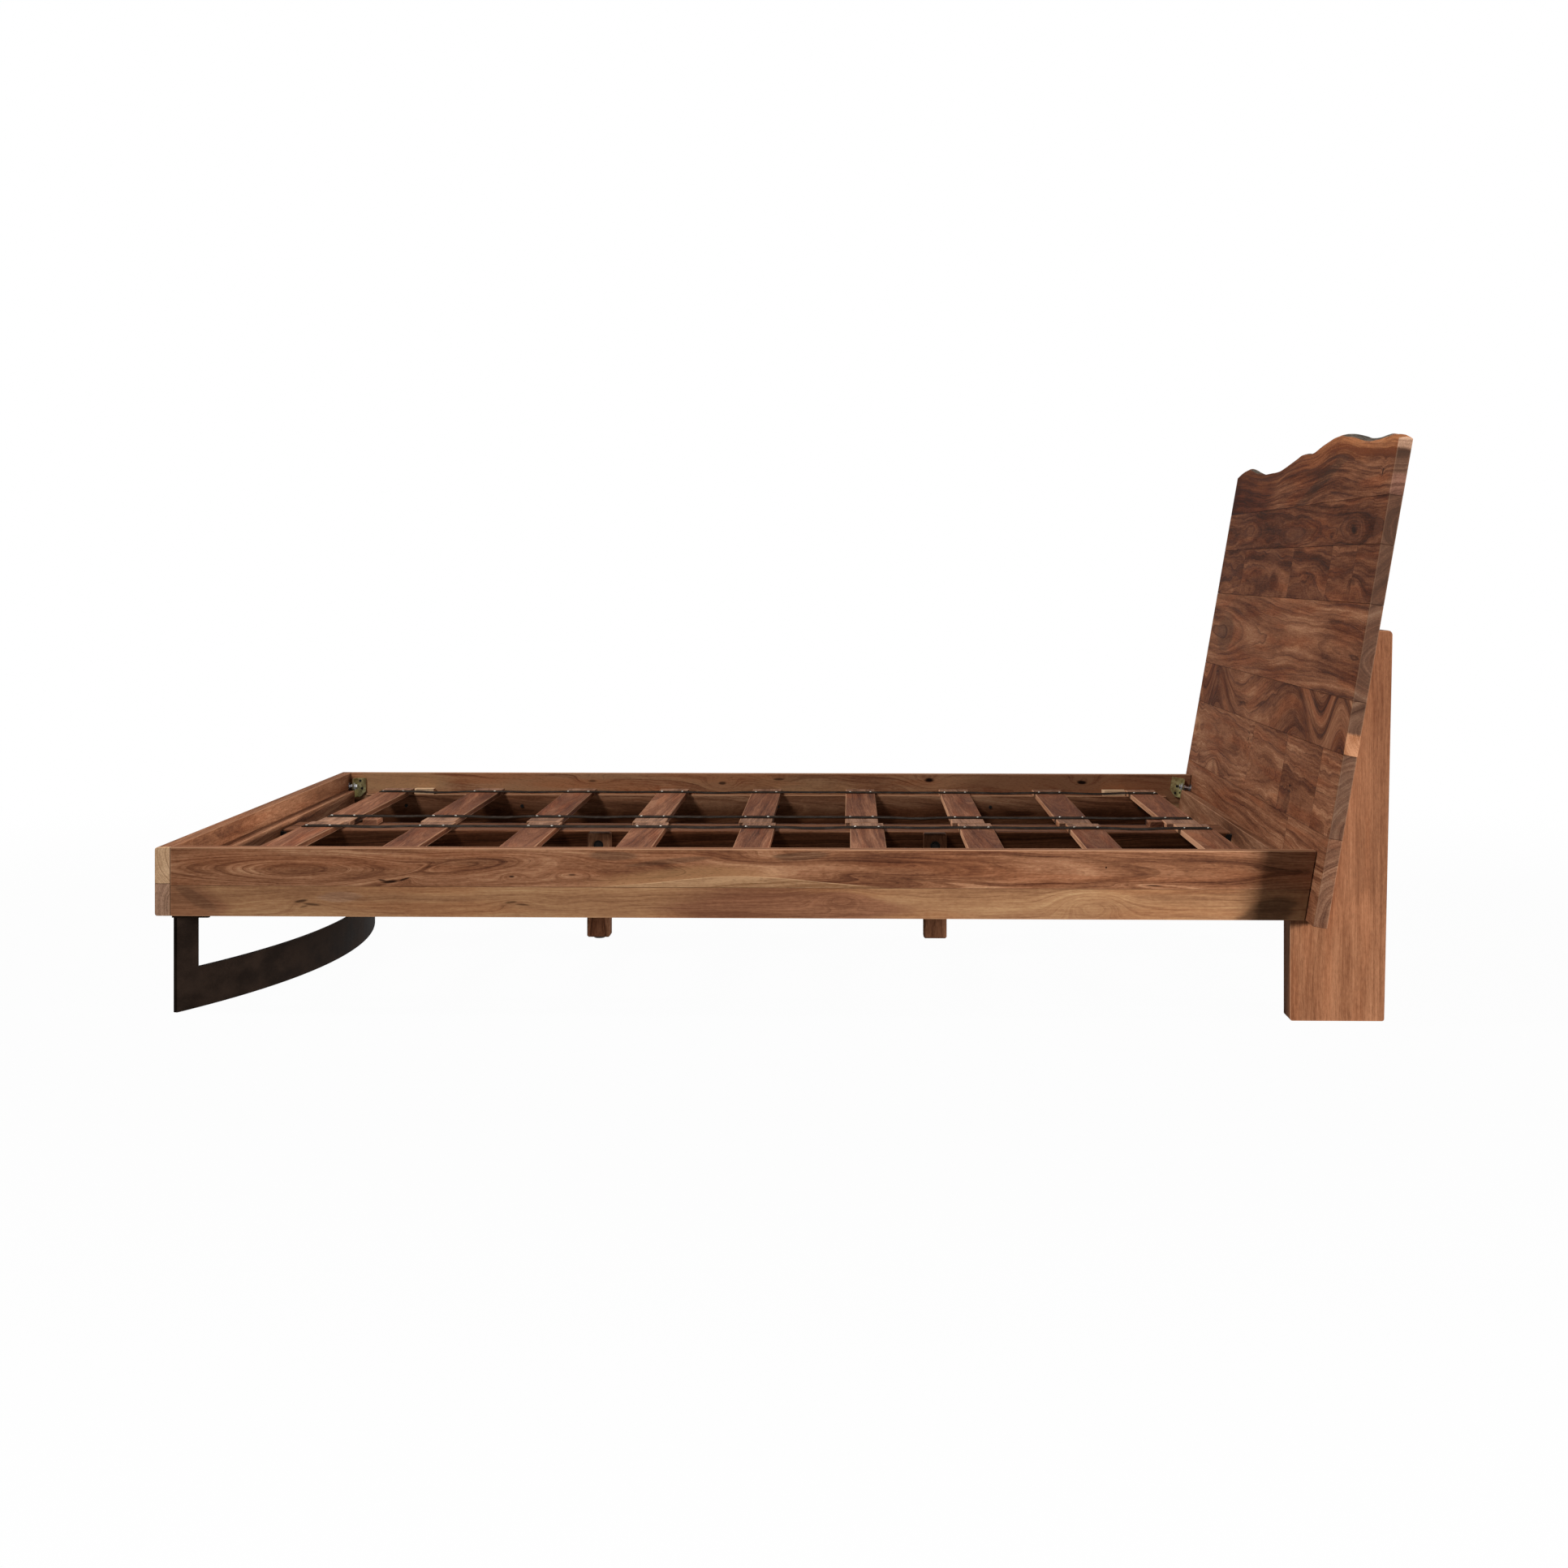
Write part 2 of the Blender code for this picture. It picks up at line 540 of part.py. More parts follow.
def make_centre_beam(finishes):
    """Wide bearer under the meeting ends of the slats, its head end cut to the cleat's lean."""
    end_room = HANGER_WALL + 2 * FIT_GAP
    foot_end = FOOT_INNER + CLEAT_THICKNESS + end_room
    side_view = [(foot_end, BEAM_BOTTOM), (cleat_face(BEAM_BOTTOM) - end_room, BEAM_BOTTOM),
                 (cleat_face(BEARER_TOP) - end_room, BEARER_TOP), (foot_end, BEARER_TOP)]
    solid = extrusion(side_view, BEAM_FAR_FACE, BEAM_NEAR_FACE)

    def is_long_edge(edge):
        a, b = (vert.co for vert in edge.verts)
        return abs(a.x - b.x) < 1e-6 and abs(a.y - b.y) > 0.5

    bevel_edges(solid, is_long_edge, BEAM_ROUND, 3)
    beam = add_object("centre_beam", solid, finishes["inner_wood"])
    for number, y in enumerate(CENTRE_LEG_PLACES, 1):
        hole = turned([(-0.002 - LEG_BOLT_BITE, BOLT_RADIUS + BORE_CLEARANCE, False),
                       (0.01, BOLT_RADIUS + BORE_CLEARANCE, False)])
        combine(beam, hole, "DIFFERENCE", f"beam_bolt_hole_{number}",
                (BEAM_NEAR_FACE, y, BEARER_TOP - LEG_BOLT_DROP), (0, math.pi / 2, 0))
    make_hanger("beam_hanger_foot", finishes, 1, lambda height: FOOT_INNER + CLEAT_THICKNESS)
    make_hanger("beam_hanger_head", finishes, -1, cleat_face)


def make_hanger(name, finishes, toward_beam, support_face):
    """Steel shoe: a back plate on the cleat, a seat under the beam and a narrow strap up each side."""
    top = BEARER_TOP - HANGER_DROP
    bottom = BEAM_BOTTOM - FIT_GAP - HANGER_WALL
    reach = HANGER_WALL + HANGER_STRAP

    def outline(skip, low, high):
        near = [(support_face(z) + toward_beam * (FIT_GAP + skip), z) for z in (low, high)]
        far = [(support_face(z) + toward_beam * (FIT_GAP + skip + reach), z) for z in (high, low)]
        return near + far

    wide = (BEAM_FAR_FACE - FIT_GAP - HANGER_WALL, BEAM_NEAR_FACE + FIT_GAP + HANGER_WALL)
    shoe = add_object(name, extrusion(outline(0, bottom, top), *wide), finishes["black_bolt"])
    hollow = extrusion(outline(HANGER_WALL, bottom + HANGER_WALL, top + 0.01),
                       BEAM_FAR_FACE - FIT_GAP, BEAM_NEAR_FACE + FIT_GAP)
    combine(shoe, hollow, "DIFFERENCE", f"{name}_hollow")


def make_centre_legs(finishes):
    """Square legs bolted to the beam's near face, each with a screw-out levelling glide."""
    low_x = BEAM_NEAR_FACE + FIT_GAP
    high_x = low_x + CENTRE_LEG_DEPTH
    middle = (low_x + high_x) / 2
    bolt_height = BEARER_TOP - LEG_BOLT_DROP
    for number, y in enumerate(CENTRE_LEG_PLACES, 1):
        solid = box((low_x, y - CENTRE_LEG_WIDTH / 2, CENTRE_LEG_CLEARANCE),
                    (high_x, y + CENTRE_LEG_WIDTH / 2, BEARER_TOP), CENTRE_LEG_ROUND)
        leg = add_object(f"centre_leg_{number}", solid, finishes["inner_wood"])
        bore = turned([(-0.01, BOLT_RADIUS + BORE_CLEARANCE, False),
                       (CENTRE_LEG_DEPTH + 0.01, BOLT_RADIUS + BORE_CLEARANCE, False)])
        combine(leg, bore, "DIFFERENCE", f"leg_bolt_bore_{number}", (low_x, y, bolt_height),
                (0, math.pi / 2, 0))
        pocket = turned([(-0.01, GLIDE_POCKET_RADIUS, False),
                         (GLIDE_POCKET_DEPTH, GLIDE_POCKET_RADIUS, False),
                         (GLIDE_POCKET_DEPTH, BOLT_RADIUS + BORE_CLEARANCE, False),
                         (STUD_BORE_DEPTH, BOLT_RADIUS + BORE_CLEARANCE, False)])
        combine(leg, pocket, "DIFFERENCE", f"leg_glide_bore_{number}",
                (middle, y, CENTRE_LEG_CLEARANCE))
        bolt(f"centre_leg_bolt_{number}", finishes["black_bolt"], BOLT_HEAD_HEIGHT,
             CENTRE_LEG_DEPTH + LEG_BOLT_BITE, (high_x + FIT_GAP, y, bolt_height),
             (0, math.pi / 2, 0))
        glide = turned([
            (0.0, GLIDE_RADIUS - 0.0025, False), (0.0007, GLIDE_RADIUS - 0.0010, False),
            (0.0025, GLIDE_RADIUS, False), (GLIDE_THICKNESS, GLIDE_RADIUS, False),
            (GLIDE_THICKNESS, BOLT_RADIUS, False),
            (GLIDE_THICKNESS + GLIDE_STUD_LENGTH - 0.001, BOLT_RADIUS, False),
            (GLIDE_THICKNESS + GLIDE_STUD_LENGTH, BOLT_RADIUS - 0.001, False)])
        shade_round(add_object(f"levelling_glide_{number}", glide, finishes["plastic"],
                               (middle, y, CENTRE_LEG_CLEARANCE - GLIDE_OUT[number - 1])))


# ---------------------------------------------------------------- slats and straps
def slat_places(first, second, head_room):
    """Y of the slats' centre lines: the first by itself, the others evenly spaced up to the last."""
    start = FOOT_FRONT + second
    pitch = (panel_front(SLAT_TOP) - head_room - start) / (SLAT_COUNT - 2)
    return [FOOT_FRONT + first] + [start + index * pitch for index in range(SLAT_COUNT - 1)]


def make_slat_rolls(finishes):
    """Two lift-out rolls, each nine slats under two webbing straps, on an empty of its own."""
    inner = ROLL_GAP / 2
    outer = RAIL_INNER - SLAT_END_PLAY
    middle = (inner + outer) / 2
    reach = (outer - inner) / 2
    for label, side, first, second, head_room in ROLLS:
        places = slat_places(first, second, head_room)
        roll = add_empty(f"slat_roll_{label}", (side * middle, places[0], SLAT_TOP))
        for number, y in enumerate(places, 1):
            solid = box((-reach, -SLAT_WIDTH / 2, -SLAT_THICKNESS), (reach, SLAT_WIDTH / 2, 0), SLAT_EASE)
            add_object(f"slat_{label}_{number}", solid, finishes["slat"], (0, y - places[0], 0), roll)
        start = STRAP_END - SLAT_WIDTH / 2
        end = places[-1] - places[0] - start
        for place, centre in (("inner", inner + STRAP_TO_ROLL_END), ("outer", RAIL_INNER - STRAP_TO_RAIL)):
            solid = box((-STRAP_WIDTH / 2, start, FIT_GAP),
                        (STRAP_WIDTH / 2, end, FIT_GAP + STRAP_THICKNESS))
            add_object(f"strap_{label}_{place}", solid, finishes["webbing"],
                       (side * (centre - middle), 0, 0), roll)


# ---------------------------------------------------------------- corner brackets
def bracket_bolt_across():
    """Bolt distance from the centre line: the middle of the bracket's flange."""
    return RAIL_INNER - FIT_GAP - BRACKET_PLATE - (BRACKET_FACE - BRACKET_PLATE) / 2


def bracket_bolt_height():
    return RAIL_TOP - BRACKET_TOP_DROP - BRACKET_BOLT_DROP


def head_bracket_top():
    """Top of the head brackets, measured up the headboard's slope."""
    return (RAIL_HEIGHT - BRACKET_TOP_DROP) / COS_TILT


def head_bolt_height():
    return head_bracket_top() - BRACKET_BOLT_DROP


def bracket_solid(side, top, standoff):
    """Angle plate in a frame whose Y = 0 is the face it is bolted to and whose front is -Y."""
    wall = side * (RAIL_INNER - FIT_GAP)
    bottom = top - BRACKET_HEIGHT
    fold = -standoff
    end = fold - BRACKET_SIDE
    outline = [(fold, bottom), (fold, top), (end, top), (end, bottom + BRACKET_CUT),
               (end + BRACKET_CUT, bottom)]
    low, high = sorted((wall, wall - side * BRACKET_PLATE))
    side_plate = extrusion(outline, low, high)
    low, high = sorted((wall - side * BRACKET_PLATE / 2, wall - side * BRACKET_FACE))
    face_plate = box((low, fold - BRACKET_PLATE, bottom), (high, fold, top))
    return side_plate, face_plate


def make_brackets(finishes, lean):
    """Angle brackets in the four corners, each with a bolt into the foot rail or the headboard."""
    hole_sections = [(-0.02, BOLT_RADIUS + BORE_CLEARANCE, False),
                     (0.02, BOLT_RADIUS + BORE_CLEARANCE, False)]
    foot_frame = add_empty("foot_bracket_frame", (0, FOOT_INNER, 0), (0, 0, math.pi))
    for side, label in ((1, "near"), (-1, "far")):
        across = bracket_bolt_across()
        for end, frame, local_side, top, standoff, height in (
                ("foot", foot_frame, -side, RAIL_TOP - BRACKET_TOP_DROP, FOOT_BRACKET_STANDOFF,
                 bracket_bolt_height()),
                ("head", lean, side, head_bracket_top(), HEAD_BRACKET_STANDOFF,
                 head_bolt_height())):
            name = f"corner_bracket_{end}_{label}"
            side_plate, face_plate = bracket_solid(local_side, top, standoff)
            part = add_object(name, side_plate, finishes["zinc"], parent=frame)
            combine(part, face_plate, "UNION", f"{name}_face", parent=frame)
            combine(part, turned(hole_sections), "DIFFERENCE", f"{name}_hole",
                    (local_side * across, -standoff, height), (math.pi / 2, 0, 0), frame)
            seat = standoff + BRACKET_PLATE + FIT_GAP
            washer_foot = -seat + FIT_GAP
            washer_top = washer_foot + WASHER_THICKNESS
            nut_top = -seat + standoff - FIT_GAP
            nut_foot = max(nut_top - BOLT_HEAD_HEIGHT, washer_top)
            collar = ((washer_foot, BOLT_RADIUS, False), (washer_foot, WASHER_RADIUS, False),
                      (washer_top, WASHER_RADIUS, False), (washer_top, BOLT_RADIUS, False),
                      (nut_foot, BOLT_RADIUS, False), (nut_foot, BOLT_HEAD_RADIUS, True),
                      (nut_top, BOLT_HEAD_RADIUS, True), (nut_top, BOLT_RADIUS, False))
            bolt(f"bracket_bolt_{end}_{label}", finishes["bolt"], BOLT_HEAD_HEIGHT,
                 BRACKET_BOLT_BITE + seat, (local_side * across, -seat, height),
                 (math.pi / 2, 0, 0), frame, collar)


# ---------------------------------------------------------------- steel foot leg
def make_foot_leg(finishes):
    """U of plate rolled to an arc in plan, with a bolting flange welded on each upright."""
    radius = (LEG_HALF_SPAN**2 + LEG_SAGITTA**2) / (2 * LEG_SAGITTA)
    half_angle = math.asin(LEG_HALF_SPAN / radius)
    centre_y = FOOT_FRONT + LEG_END_SETBACK + LEG_SAGITTA - radius
    flange_bottom = RAIL_BOTTOM - FIT_GAP - LEG_FLANGE
    top = flange_bottom + LEG_FLANGE / 2
    upright_angle = LEG_UPRIGHT_WIDTH / radius
    upright_steps = 3
    middle = [-half_angle + upright_angle + (2 * half_angle - 2 * upright_angle) * step / LEG_ARC_STEPS
              for step in range(1, LEG_ARC_STEPS)]
    left = [-half_angle + upright_angle * step / upright_steps for step in range(upright_steps + 1)]
    angles = left + middle + [-angle for angle in reversed(left)]
    levels = (0.0, LEG_BAND_HEIGHT, top)

    def on_arc(angle, reach, height):
        return (reach * math.sin(angle), centre_y + reach * math.cos(angle), height)

    plate = bmesh.new()
    grid = {}
    for column, angle in enumerate(angles):
        for row, height in enumerate(levels):
            in_upright = column <= upright_steps or column >= len(angles) - 1 - upright_steps
            if row < 2 or in_upright:
                grid[column, row] = plate.verts.new(on_arc(angle, radius, height))
    faces = []
    for column in range(len(angles) - 1):
        for row in range(2):
            cell = [(column, row), (column + 1, row), (column + 1, row + 1), (column, row + 1)]
            in_upright = column < upright_steps or column >= len(angles) - 1 - upright_steps
            if row == 0 or in_upright:
                faces.append(plate.faces.new([grid[place] for place in cell]))
    moved = bmesh.ops.extrude_face_region(plate, geom=faces)["geom"]
    outward = (radius + LEG_PLATE) / radius
    for vert in (item for item in moved if isinstance(item, bmesh.types.BMVert)):
        vert.co.x *= outward
        vert.co.y = centre_y + (vert.co.y - centre_y) * outward
    leg = add_object("foot_leg", plate, finishes["steel"])
    for side, label in ((1, "near"), (-1, "far")):
        outer = side * (LEG_HALF_SPAN + LEG_PLATE)
        low_x, high_x = sorted((outer, outer - side * LEG_FLANGE_LENGTH))
        low_y = FOOT_FRONT + LEG_END_SETBACK - EASE
        flange = box((low_x, low_y, flange_bottom),
                     (high_x, low_y + LEG_FLANGE_DEPTH, flange_bottom + LEG_FLANGE))
        combine(leg, flange, "UNION", f"foot_leg_flange_{label}")
    shade_round(leg)


def main():
    for thing in list(bpy.data.objects):
        bpy.data.objects.remove(thing, do_unlink=True)
    finishes = make_finishes()
    make_foot_rail(finishes)
    make_side_rails(finishes)
    lean = make_headboard(finishes)
    make_posts(finishes)
    make_ledgers_and_cleats(finishes, lean)
    make_centre_beam(finishes)
    make_centre_legs(finishes)
    make_slat_rolls(finishes)
    make_brackets(finishes, lean)
    make_foot_leg(finishes)


main()
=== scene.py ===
# %% [markdown]
# # A low platform bed with a leaning live-edge headboard
# Oiled acacia boards stand on one bent steel leg and two wide rear posts. The solid parts are loaded here from
# model.glb as a fixed frame. This lesson gives them wood, steel and webbing, adds the small pieces, and
# lights the whole. Every length is in metres, with +Z up.

# %% Load the imported bed
import math

import bmesh
import bpy
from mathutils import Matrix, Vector


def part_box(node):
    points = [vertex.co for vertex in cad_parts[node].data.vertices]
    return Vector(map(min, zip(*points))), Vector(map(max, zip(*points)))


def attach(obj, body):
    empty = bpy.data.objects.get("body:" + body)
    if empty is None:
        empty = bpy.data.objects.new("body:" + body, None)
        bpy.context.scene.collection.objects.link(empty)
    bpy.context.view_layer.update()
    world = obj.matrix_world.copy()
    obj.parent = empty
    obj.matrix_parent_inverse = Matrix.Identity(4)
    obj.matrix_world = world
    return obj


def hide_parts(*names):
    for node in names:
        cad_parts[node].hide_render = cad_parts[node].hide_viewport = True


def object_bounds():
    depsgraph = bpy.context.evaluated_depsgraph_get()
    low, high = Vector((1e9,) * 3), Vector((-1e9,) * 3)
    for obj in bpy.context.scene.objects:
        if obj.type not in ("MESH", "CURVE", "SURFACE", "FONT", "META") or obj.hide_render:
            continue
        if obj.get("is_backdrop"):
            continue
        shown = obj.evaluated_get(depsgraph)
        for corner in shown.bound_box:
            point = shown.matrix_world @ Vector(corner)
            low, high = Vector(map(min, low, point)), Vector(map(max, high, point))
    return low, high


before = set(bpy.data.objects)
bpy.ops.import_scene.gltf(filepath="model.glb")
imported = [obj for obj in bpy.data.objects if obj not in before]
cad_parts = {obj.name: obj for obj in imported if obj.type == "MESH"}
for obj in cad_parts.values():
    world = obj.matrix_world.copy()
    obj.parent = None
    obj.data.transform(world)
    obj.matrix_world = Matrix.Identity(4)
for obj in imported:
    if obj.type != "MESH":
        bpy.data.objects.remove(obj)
cad_low, cad_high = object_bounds()
print("the bed measures", [round(v, 4) for v in cad_high - cad_low], "metres")

# %% [markdown]
# ## The camera
# The bed is seen almost square from its near side, from table height and turned a degree and a half to the foot.
# The camera is level, so that upright edges stay upright, and a small lens shift slides the bed up into the
# middle of the frame. Tilting the camera down would do the same, but the posts would lean apart.

# %% Place the camera
camera_data = bpy.data.cameras.new("camera")
camera = bpy.data.objects.new("camera", camera_data)
bpy.context.scene.collection.objects.link(camera)
camera_data.sensor_width = 36
camera_data.lens = 55.16
camera_data.shift_y = -0.1381
camera.location = (5.1063, cad_low.y + 1.2549, 0.8087)
camera.rotation_euler = (math.radians(90), 0, math.radians(91.568))
bpy.context.scene.camera = camera
bpy.context.scene.view_settings.view_transform = "Standard"
print("camera at", [round(v, 3) for v in camera.location], "lens", camera_data.lens)

# %% [markdown]
# ## A small language for shader sums
# A material is a tree of nodes, and its sums are hard to follow as node calls. The class below wraps one socket,
# so that `1 - mask` or `stripes * 0.5` adds the Math nodes by itself. Its method `node` makes any other node:
# settings first, because they decide which sockets it has, and then values or links.

# %% Wrap a socket
class Wire:
    """One value inside a material, usable in ordinary sums."""

    def __init__(self, tree, socket):
        self.tree, self.socket = tree, socket

    def node(self, kind, settings=None, sockets=None, out=0):
        made = self.tree.nodes.new("ShaderNode" + kind)
        for name, value in (settings or {}).items():
            if name == "stops":
                stops = made.color_ramp.elements
                while len(stops) < len(value):
                    stops.new(0.5)
                for stop, (at, colour) in zip(stops, value):
                    stop.position, stop.color = at, colour
            elif name == "points":
                curve = made.mapping.curves[0]
                for at, height in value[1:-1]:
                    curve.points.new(at, height)
                for point, (at, height) in zip(curve.points, value):
                    point.location = at, height
                made.mapping.update()
            else:
                setattr(made, name, value)
        for name, value in (sockets or {}).items():
            if isinstance(value, Wire):
                self.tree.links.new(value.socket, made.inputs[name])
            else:
                made.inputs[name].default_value = value
        return Wire(self.tree, made.outputs[out]) if len(made.outputs) else None

    def math(self, operation, *values):
        return self.node("Math", {"operation": operation}, dict(enumerate(values)))

    def __rsub__(self, other):
        return self.math("SUBTRACT", other, self)

    def least(self, other):
        return self.math("MINIMUM", self, other)

    def most(self, other):
        return self.math("MAXIMUM", self, other)

    def absolute(self):
        return self.math("ABSOLUTE", self)

    def length(self):
        return self.node("VectorMath", {"operation": "LENGTH"}, {0: self}, out="Value")

    def rise(self, low, high):
        """0 below low, 1 above high, and a smooth step between them."""
        return self.node("MapRange", {"interpolation_type": "SMOOTHSTEP"},
                         {"Value": self, "From Min": low, "From Max": high})

    def fall(self, low, high):
        """1 below low and 0 above high."""
        return 1 - self.rise(low, high)

    def swing(self, size):
        """A value from 0 to 1 as a swing of size about 0."""
        return (self - 0.5) * size

    def bell(self):
        """1 where this value is 0, falling off to nothing by about 2."""
        return self.math("EXPONENT", self * self * -1)


SUMS = {"add": "ADD", "radd": "ADD", "sub": "SUBTRACT", "mul": "MULTIPLY", "rmul": "MULTIPLY", "truediv": "DIVIDE",
        "pow": "POWER"}
for sign, operation in SUMS.items():
    setattr(Wire, f"__{sign}__", lambda self, other, operation=operation: self.math(operation, self, other))
print("shader sums:", ", ".join(SUMS), "and rsub")

# %% Start a material, mix colours and finish it
def paint(red, green, blue):
    """A colour given as 0 to 255 on a screen, as the linear values that a shader wants."""
    def linear(c):
        c /= 255
        return c / 12.92 if c <= 0.04045 else ((c + 0.055) / 1.055) ** 2.4
    return (*map(linear, (red, green, blue)), 1)


def new_finish(name):
    """An empty material and the wire of its Object coordinates."""
    material = bpy.data.materials.new(name)
    material.use_nodes = True
    material.node_tree.nodes.clear()
    coordinates = material.node_tree.nodes.new("ShaderNodeTexCoord")
    return material, Wire(material.node_tree, coordinates.outputs["Object"])


def vector(parts):
    return parts[0].node("CombineXYZ", sockets=dict(enumerate(parts)))


def mix(share, first, second, blend="MIX"):
    """Colour first where share is 0 and second where it is 1. If share is a plain number, first is a wire."""
    maker = share if isinstance(share, Wire) else first
    return maker.node("Mix", {"data_type": "RGBA", "blend_type": blend}, {0: share, 6: first, 7: second}, out=2)


def darken(colour, tint, share=1.0):
    """The colour times a tint, as a stain or a shadow does it."""
    return mix(share, colour, (*tint, 1), "MULTIPLY")


def noise(place, lengths, seed, detail=2.0, roughness=0.5):
    """Cloudy noise whose blotches are about lengths long along each axis."""
    moved = place.node("Mapping", sockets={
        "Vector": place, "Location": (seed * 1.7, seed * 2.3, seed * 3.1),
        "Scale": tuple(1 / length for length in lengths)})
    return place.node("TexNoise", sockets={
        "Vector": moved, "Scale": 1.0, "Detail": detail, "Roughness": roughness})


def finish_surface(place, colour, roughness, height, depth, gloss=0.5, metallic=0.0):
    """Joins colour, roughness and bump height to a shader. Gloss is the strength of its clear reflection."""
    bump = place.node("Bump", sockets={"Strength": 1.0, "Distance": depth, "Height": height})
    shader = place.node("BsdfPrincipled", sockets={
        "Base Color": colour, "Roughness": roughness, "Normal": bump, "Specular IOR Level": gloss,
        "Metallic": metallic})
    place.node("OutputMaterial", sockets={"Surface": shader})


print("mid brown in linear values:", [round(v, 3) for v in paint(133, 88, 62)])

# %% [markdown]
# ## Floor, backdrop and lamps
# Floor and world are white to the camera and to reflections, while the light on the bed comes from three soft
# boxes and a dim sky, because a brighter sky would wash out the wood. The floor keeps a share of plain diffuse
# paint, so that the bed's soft shadow shows on it, and this share fades out where floor and sky meet.

# %% Lay the floor
FLOOR_DROP, FLOOR_RADIUS = 0.0006, 30
WHITE_SHARE, FADE_START, FADE_END = 0.975, 1.6, 4.0
WHITE = (1, 1, 1, 1)


def begin(name, add, **where):
    """Adds one primitive with nothing else selected."""
    bpy.ops.object.select_all(action="DESELECT")
    add(**where)
    piece = bpy.context.object
    piece.name = piece.data.name = name
    bpy.ops.object.transform_apply(location=True, rotation=True, scale=True)
    return piece


def white_rays(tree):
    """1 for rays from the camera, a reflection or a clear material, and 0 for light."""
    rays = tree.nodes.new("ShaderNodeLightPath").outputs
    seen = Wire(tree, rays["Is Camera Ray"])
    for ray in ("Is Glossy Ray", "Is Transmission Ray"):
        seen = seen.most(Wire(tree, rays[ray]))
    return seen


floor = begin("studio_floor", bpy.ops.mesh.primitive_circle_add, vertices=96, radius=FLOOR_RADIUS,
              fill_type="NGON", location=(0, 0, cad_low.z - FLOOR_DROP))
floor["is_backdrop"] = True
material, place = new_finish("studio_floor_paint")
seen = white_rays(place.tree)
far_off = place.length().rise(FADE_START, FADE_END)
grime = noise(place, (0.9,) * 3, 3, detail=3)
matt = place.node("BsdfDiffuse", sockets={"Color": mix(grime, paint(146, 146, 146), paint(156, 156, 156))})
glow = place.node("Emission", sockets={"Color": WHITE, "Strength": 1.0})
both = place.node("MixShader", sockets={0: seen * (WHITE_SHARE + far_off * (1 - WHITE_SHARE)), 1: matt, 2: glow})
place.node("OutputMaterial", sockets={"Surface": both})
floor.data.materials.append(material)
print("floor at z", round(cad_low.z - FLOOR_DROP, 4))

# %% Light the sky and hang three soft boxes
SKY_LIGHT, LAMP_AIM, LAMP_DISTANCE = 0.075, Vector((0, 0, 0.35)), 6.0
world = bpy.data.worlds.new("studio_sky")
bpy.context.scene.world = world
world.use_nodes = True
world.node_tree.nodes.clear()
sky = white_rays(world.node_tree)
dim = sky.node("Background", sockets={"Color": WHITE, "Strength": SKY_LIGHT})
white = sky.node("Background", sockets={"Color": WHITE, "Strength": 1.0})
sky.node("OutputWorld", sockets={"Surface": sky.node("MixShader", sockets={0: sky, 1: dim, 2: white})})


def soft_box(name, towards, size, brightness, sheen=True):
    """A square lamp that shines on the bed from a direction. Brightness 1 lights white paint as white."""
    direction = Vector(towards).normalized()
    data = bpy.data.lights.new(name, "AREA")
    data.shape, data.size = "SQUARE", size
    data.energy = brightness * math.pi ** 2 * LAMP_DISTANCE ** 2
    lamp = bpy.data.objects.new(name, data)
    bpy.context.scene.collection.objects.link(lamp)
    lamp.location = LAMP_AIM + direction * LAMP_DISTANCE
    lamp.rotation_euler = direction.to_track_quat("Z", "Y").to_euler()
    lamp.visible_glossy = sheen
    print(name, "at", [round(v, 2) for v in lamp.location], "power", round(data.energy))


soft_box("key_soft_box", (1, 1.42, 0.14), 1.0, 1.32)
soft_box("foot_soft_box", (0.45, -1, 1.45), 1.3, 0.8)
soft_box("far_soft_box", (-1, 0.22, 0.22), 2.5, 0.4, sheen=False)

# %% [markdown]
# ## How a board grows
# Inside a tree, each year adds one shell round the pith. A board is a flat slice through those shells: cut far
# from the pith it shows straight stripes, and cut near it the shells meet the face at a slant and draw long
# arches, called cathedrals. So each board gets its own place inside a log, the distance to the pith is worked
# out at each point, and stripes follow that distance. A branch pushes the shells aside, which a small mound in
# the distance copies, so that rings close round a knot. Noise stretched along the grain makes the trunk wander.
# The end faces then show the right arcs by themselves.

# %% Measure a board along its grain
def solid(name):
    """One of the frame's nodes, or a piece modelled here, by its name."""
    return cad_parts.get(name) or bpy.data.objects[name]


def board_axes(node, along, across):
    """Unit directions along, across and through the board, and its lowest corner and size in them."""
    along, across = Vector(along).normalized(), Vector(across).normalized()
    axes = (along, across, along.cross(across))
    points = [v.co for v in solid(node).data.vertices]
    low = [min(p.dot(a) for p in points) for a in axes]
    high = [max(p.dot(a) for p in points) for a in axes]
    return axes, low, [h - l for l, h in zip(low, high)]


def grain_place(place, axes, low):
    """Object coordinates from the board's corner: x along the grain, y across it and z through it."""
    parts = [place.node("VectorMath", {"operation": "DOT_PRODUCT"}, {0: place, 1: tuple(a)}, out="Value") - l
             for a, l in zip(axes, low)]
    return parts, vector(parts)


def front_face(node):
    """The widest face towards the foot, and how far it leans back from upright."""
    face = max(solid(node).data.polygons, key=lambda p: p.area * (p.normal.y < -0.5))
    return face, math.atan2(face.normal.z, -face.normal.y)


LEAN = front_face("headboard_board_4")[1]
UP_THE_PANEL = (0, math.sin(LEAN), math.cos(LEAN))
print("the headboard leans back by", round(math.degrees(LEAN), 2), "degrees")

# %% Push the rings aside with knots
MOUND_DEPTH = 0.08  # how far a mound reaches through the board


def mound(grain, along, across, length, width, turn=0):
    """1 at the middle of a spot with this half length and half width, and 0 well outside it."""
    near = grain.node("Mapping", {"vector_type": "TEXTURE"}, {
        "Vector": grain, "Location": (along, across, 0), "Rotation": (0, 0, math.radians(turn)),
        "Scale": (length, width, MOUND_DEPTH)})
    return near.length().bell()


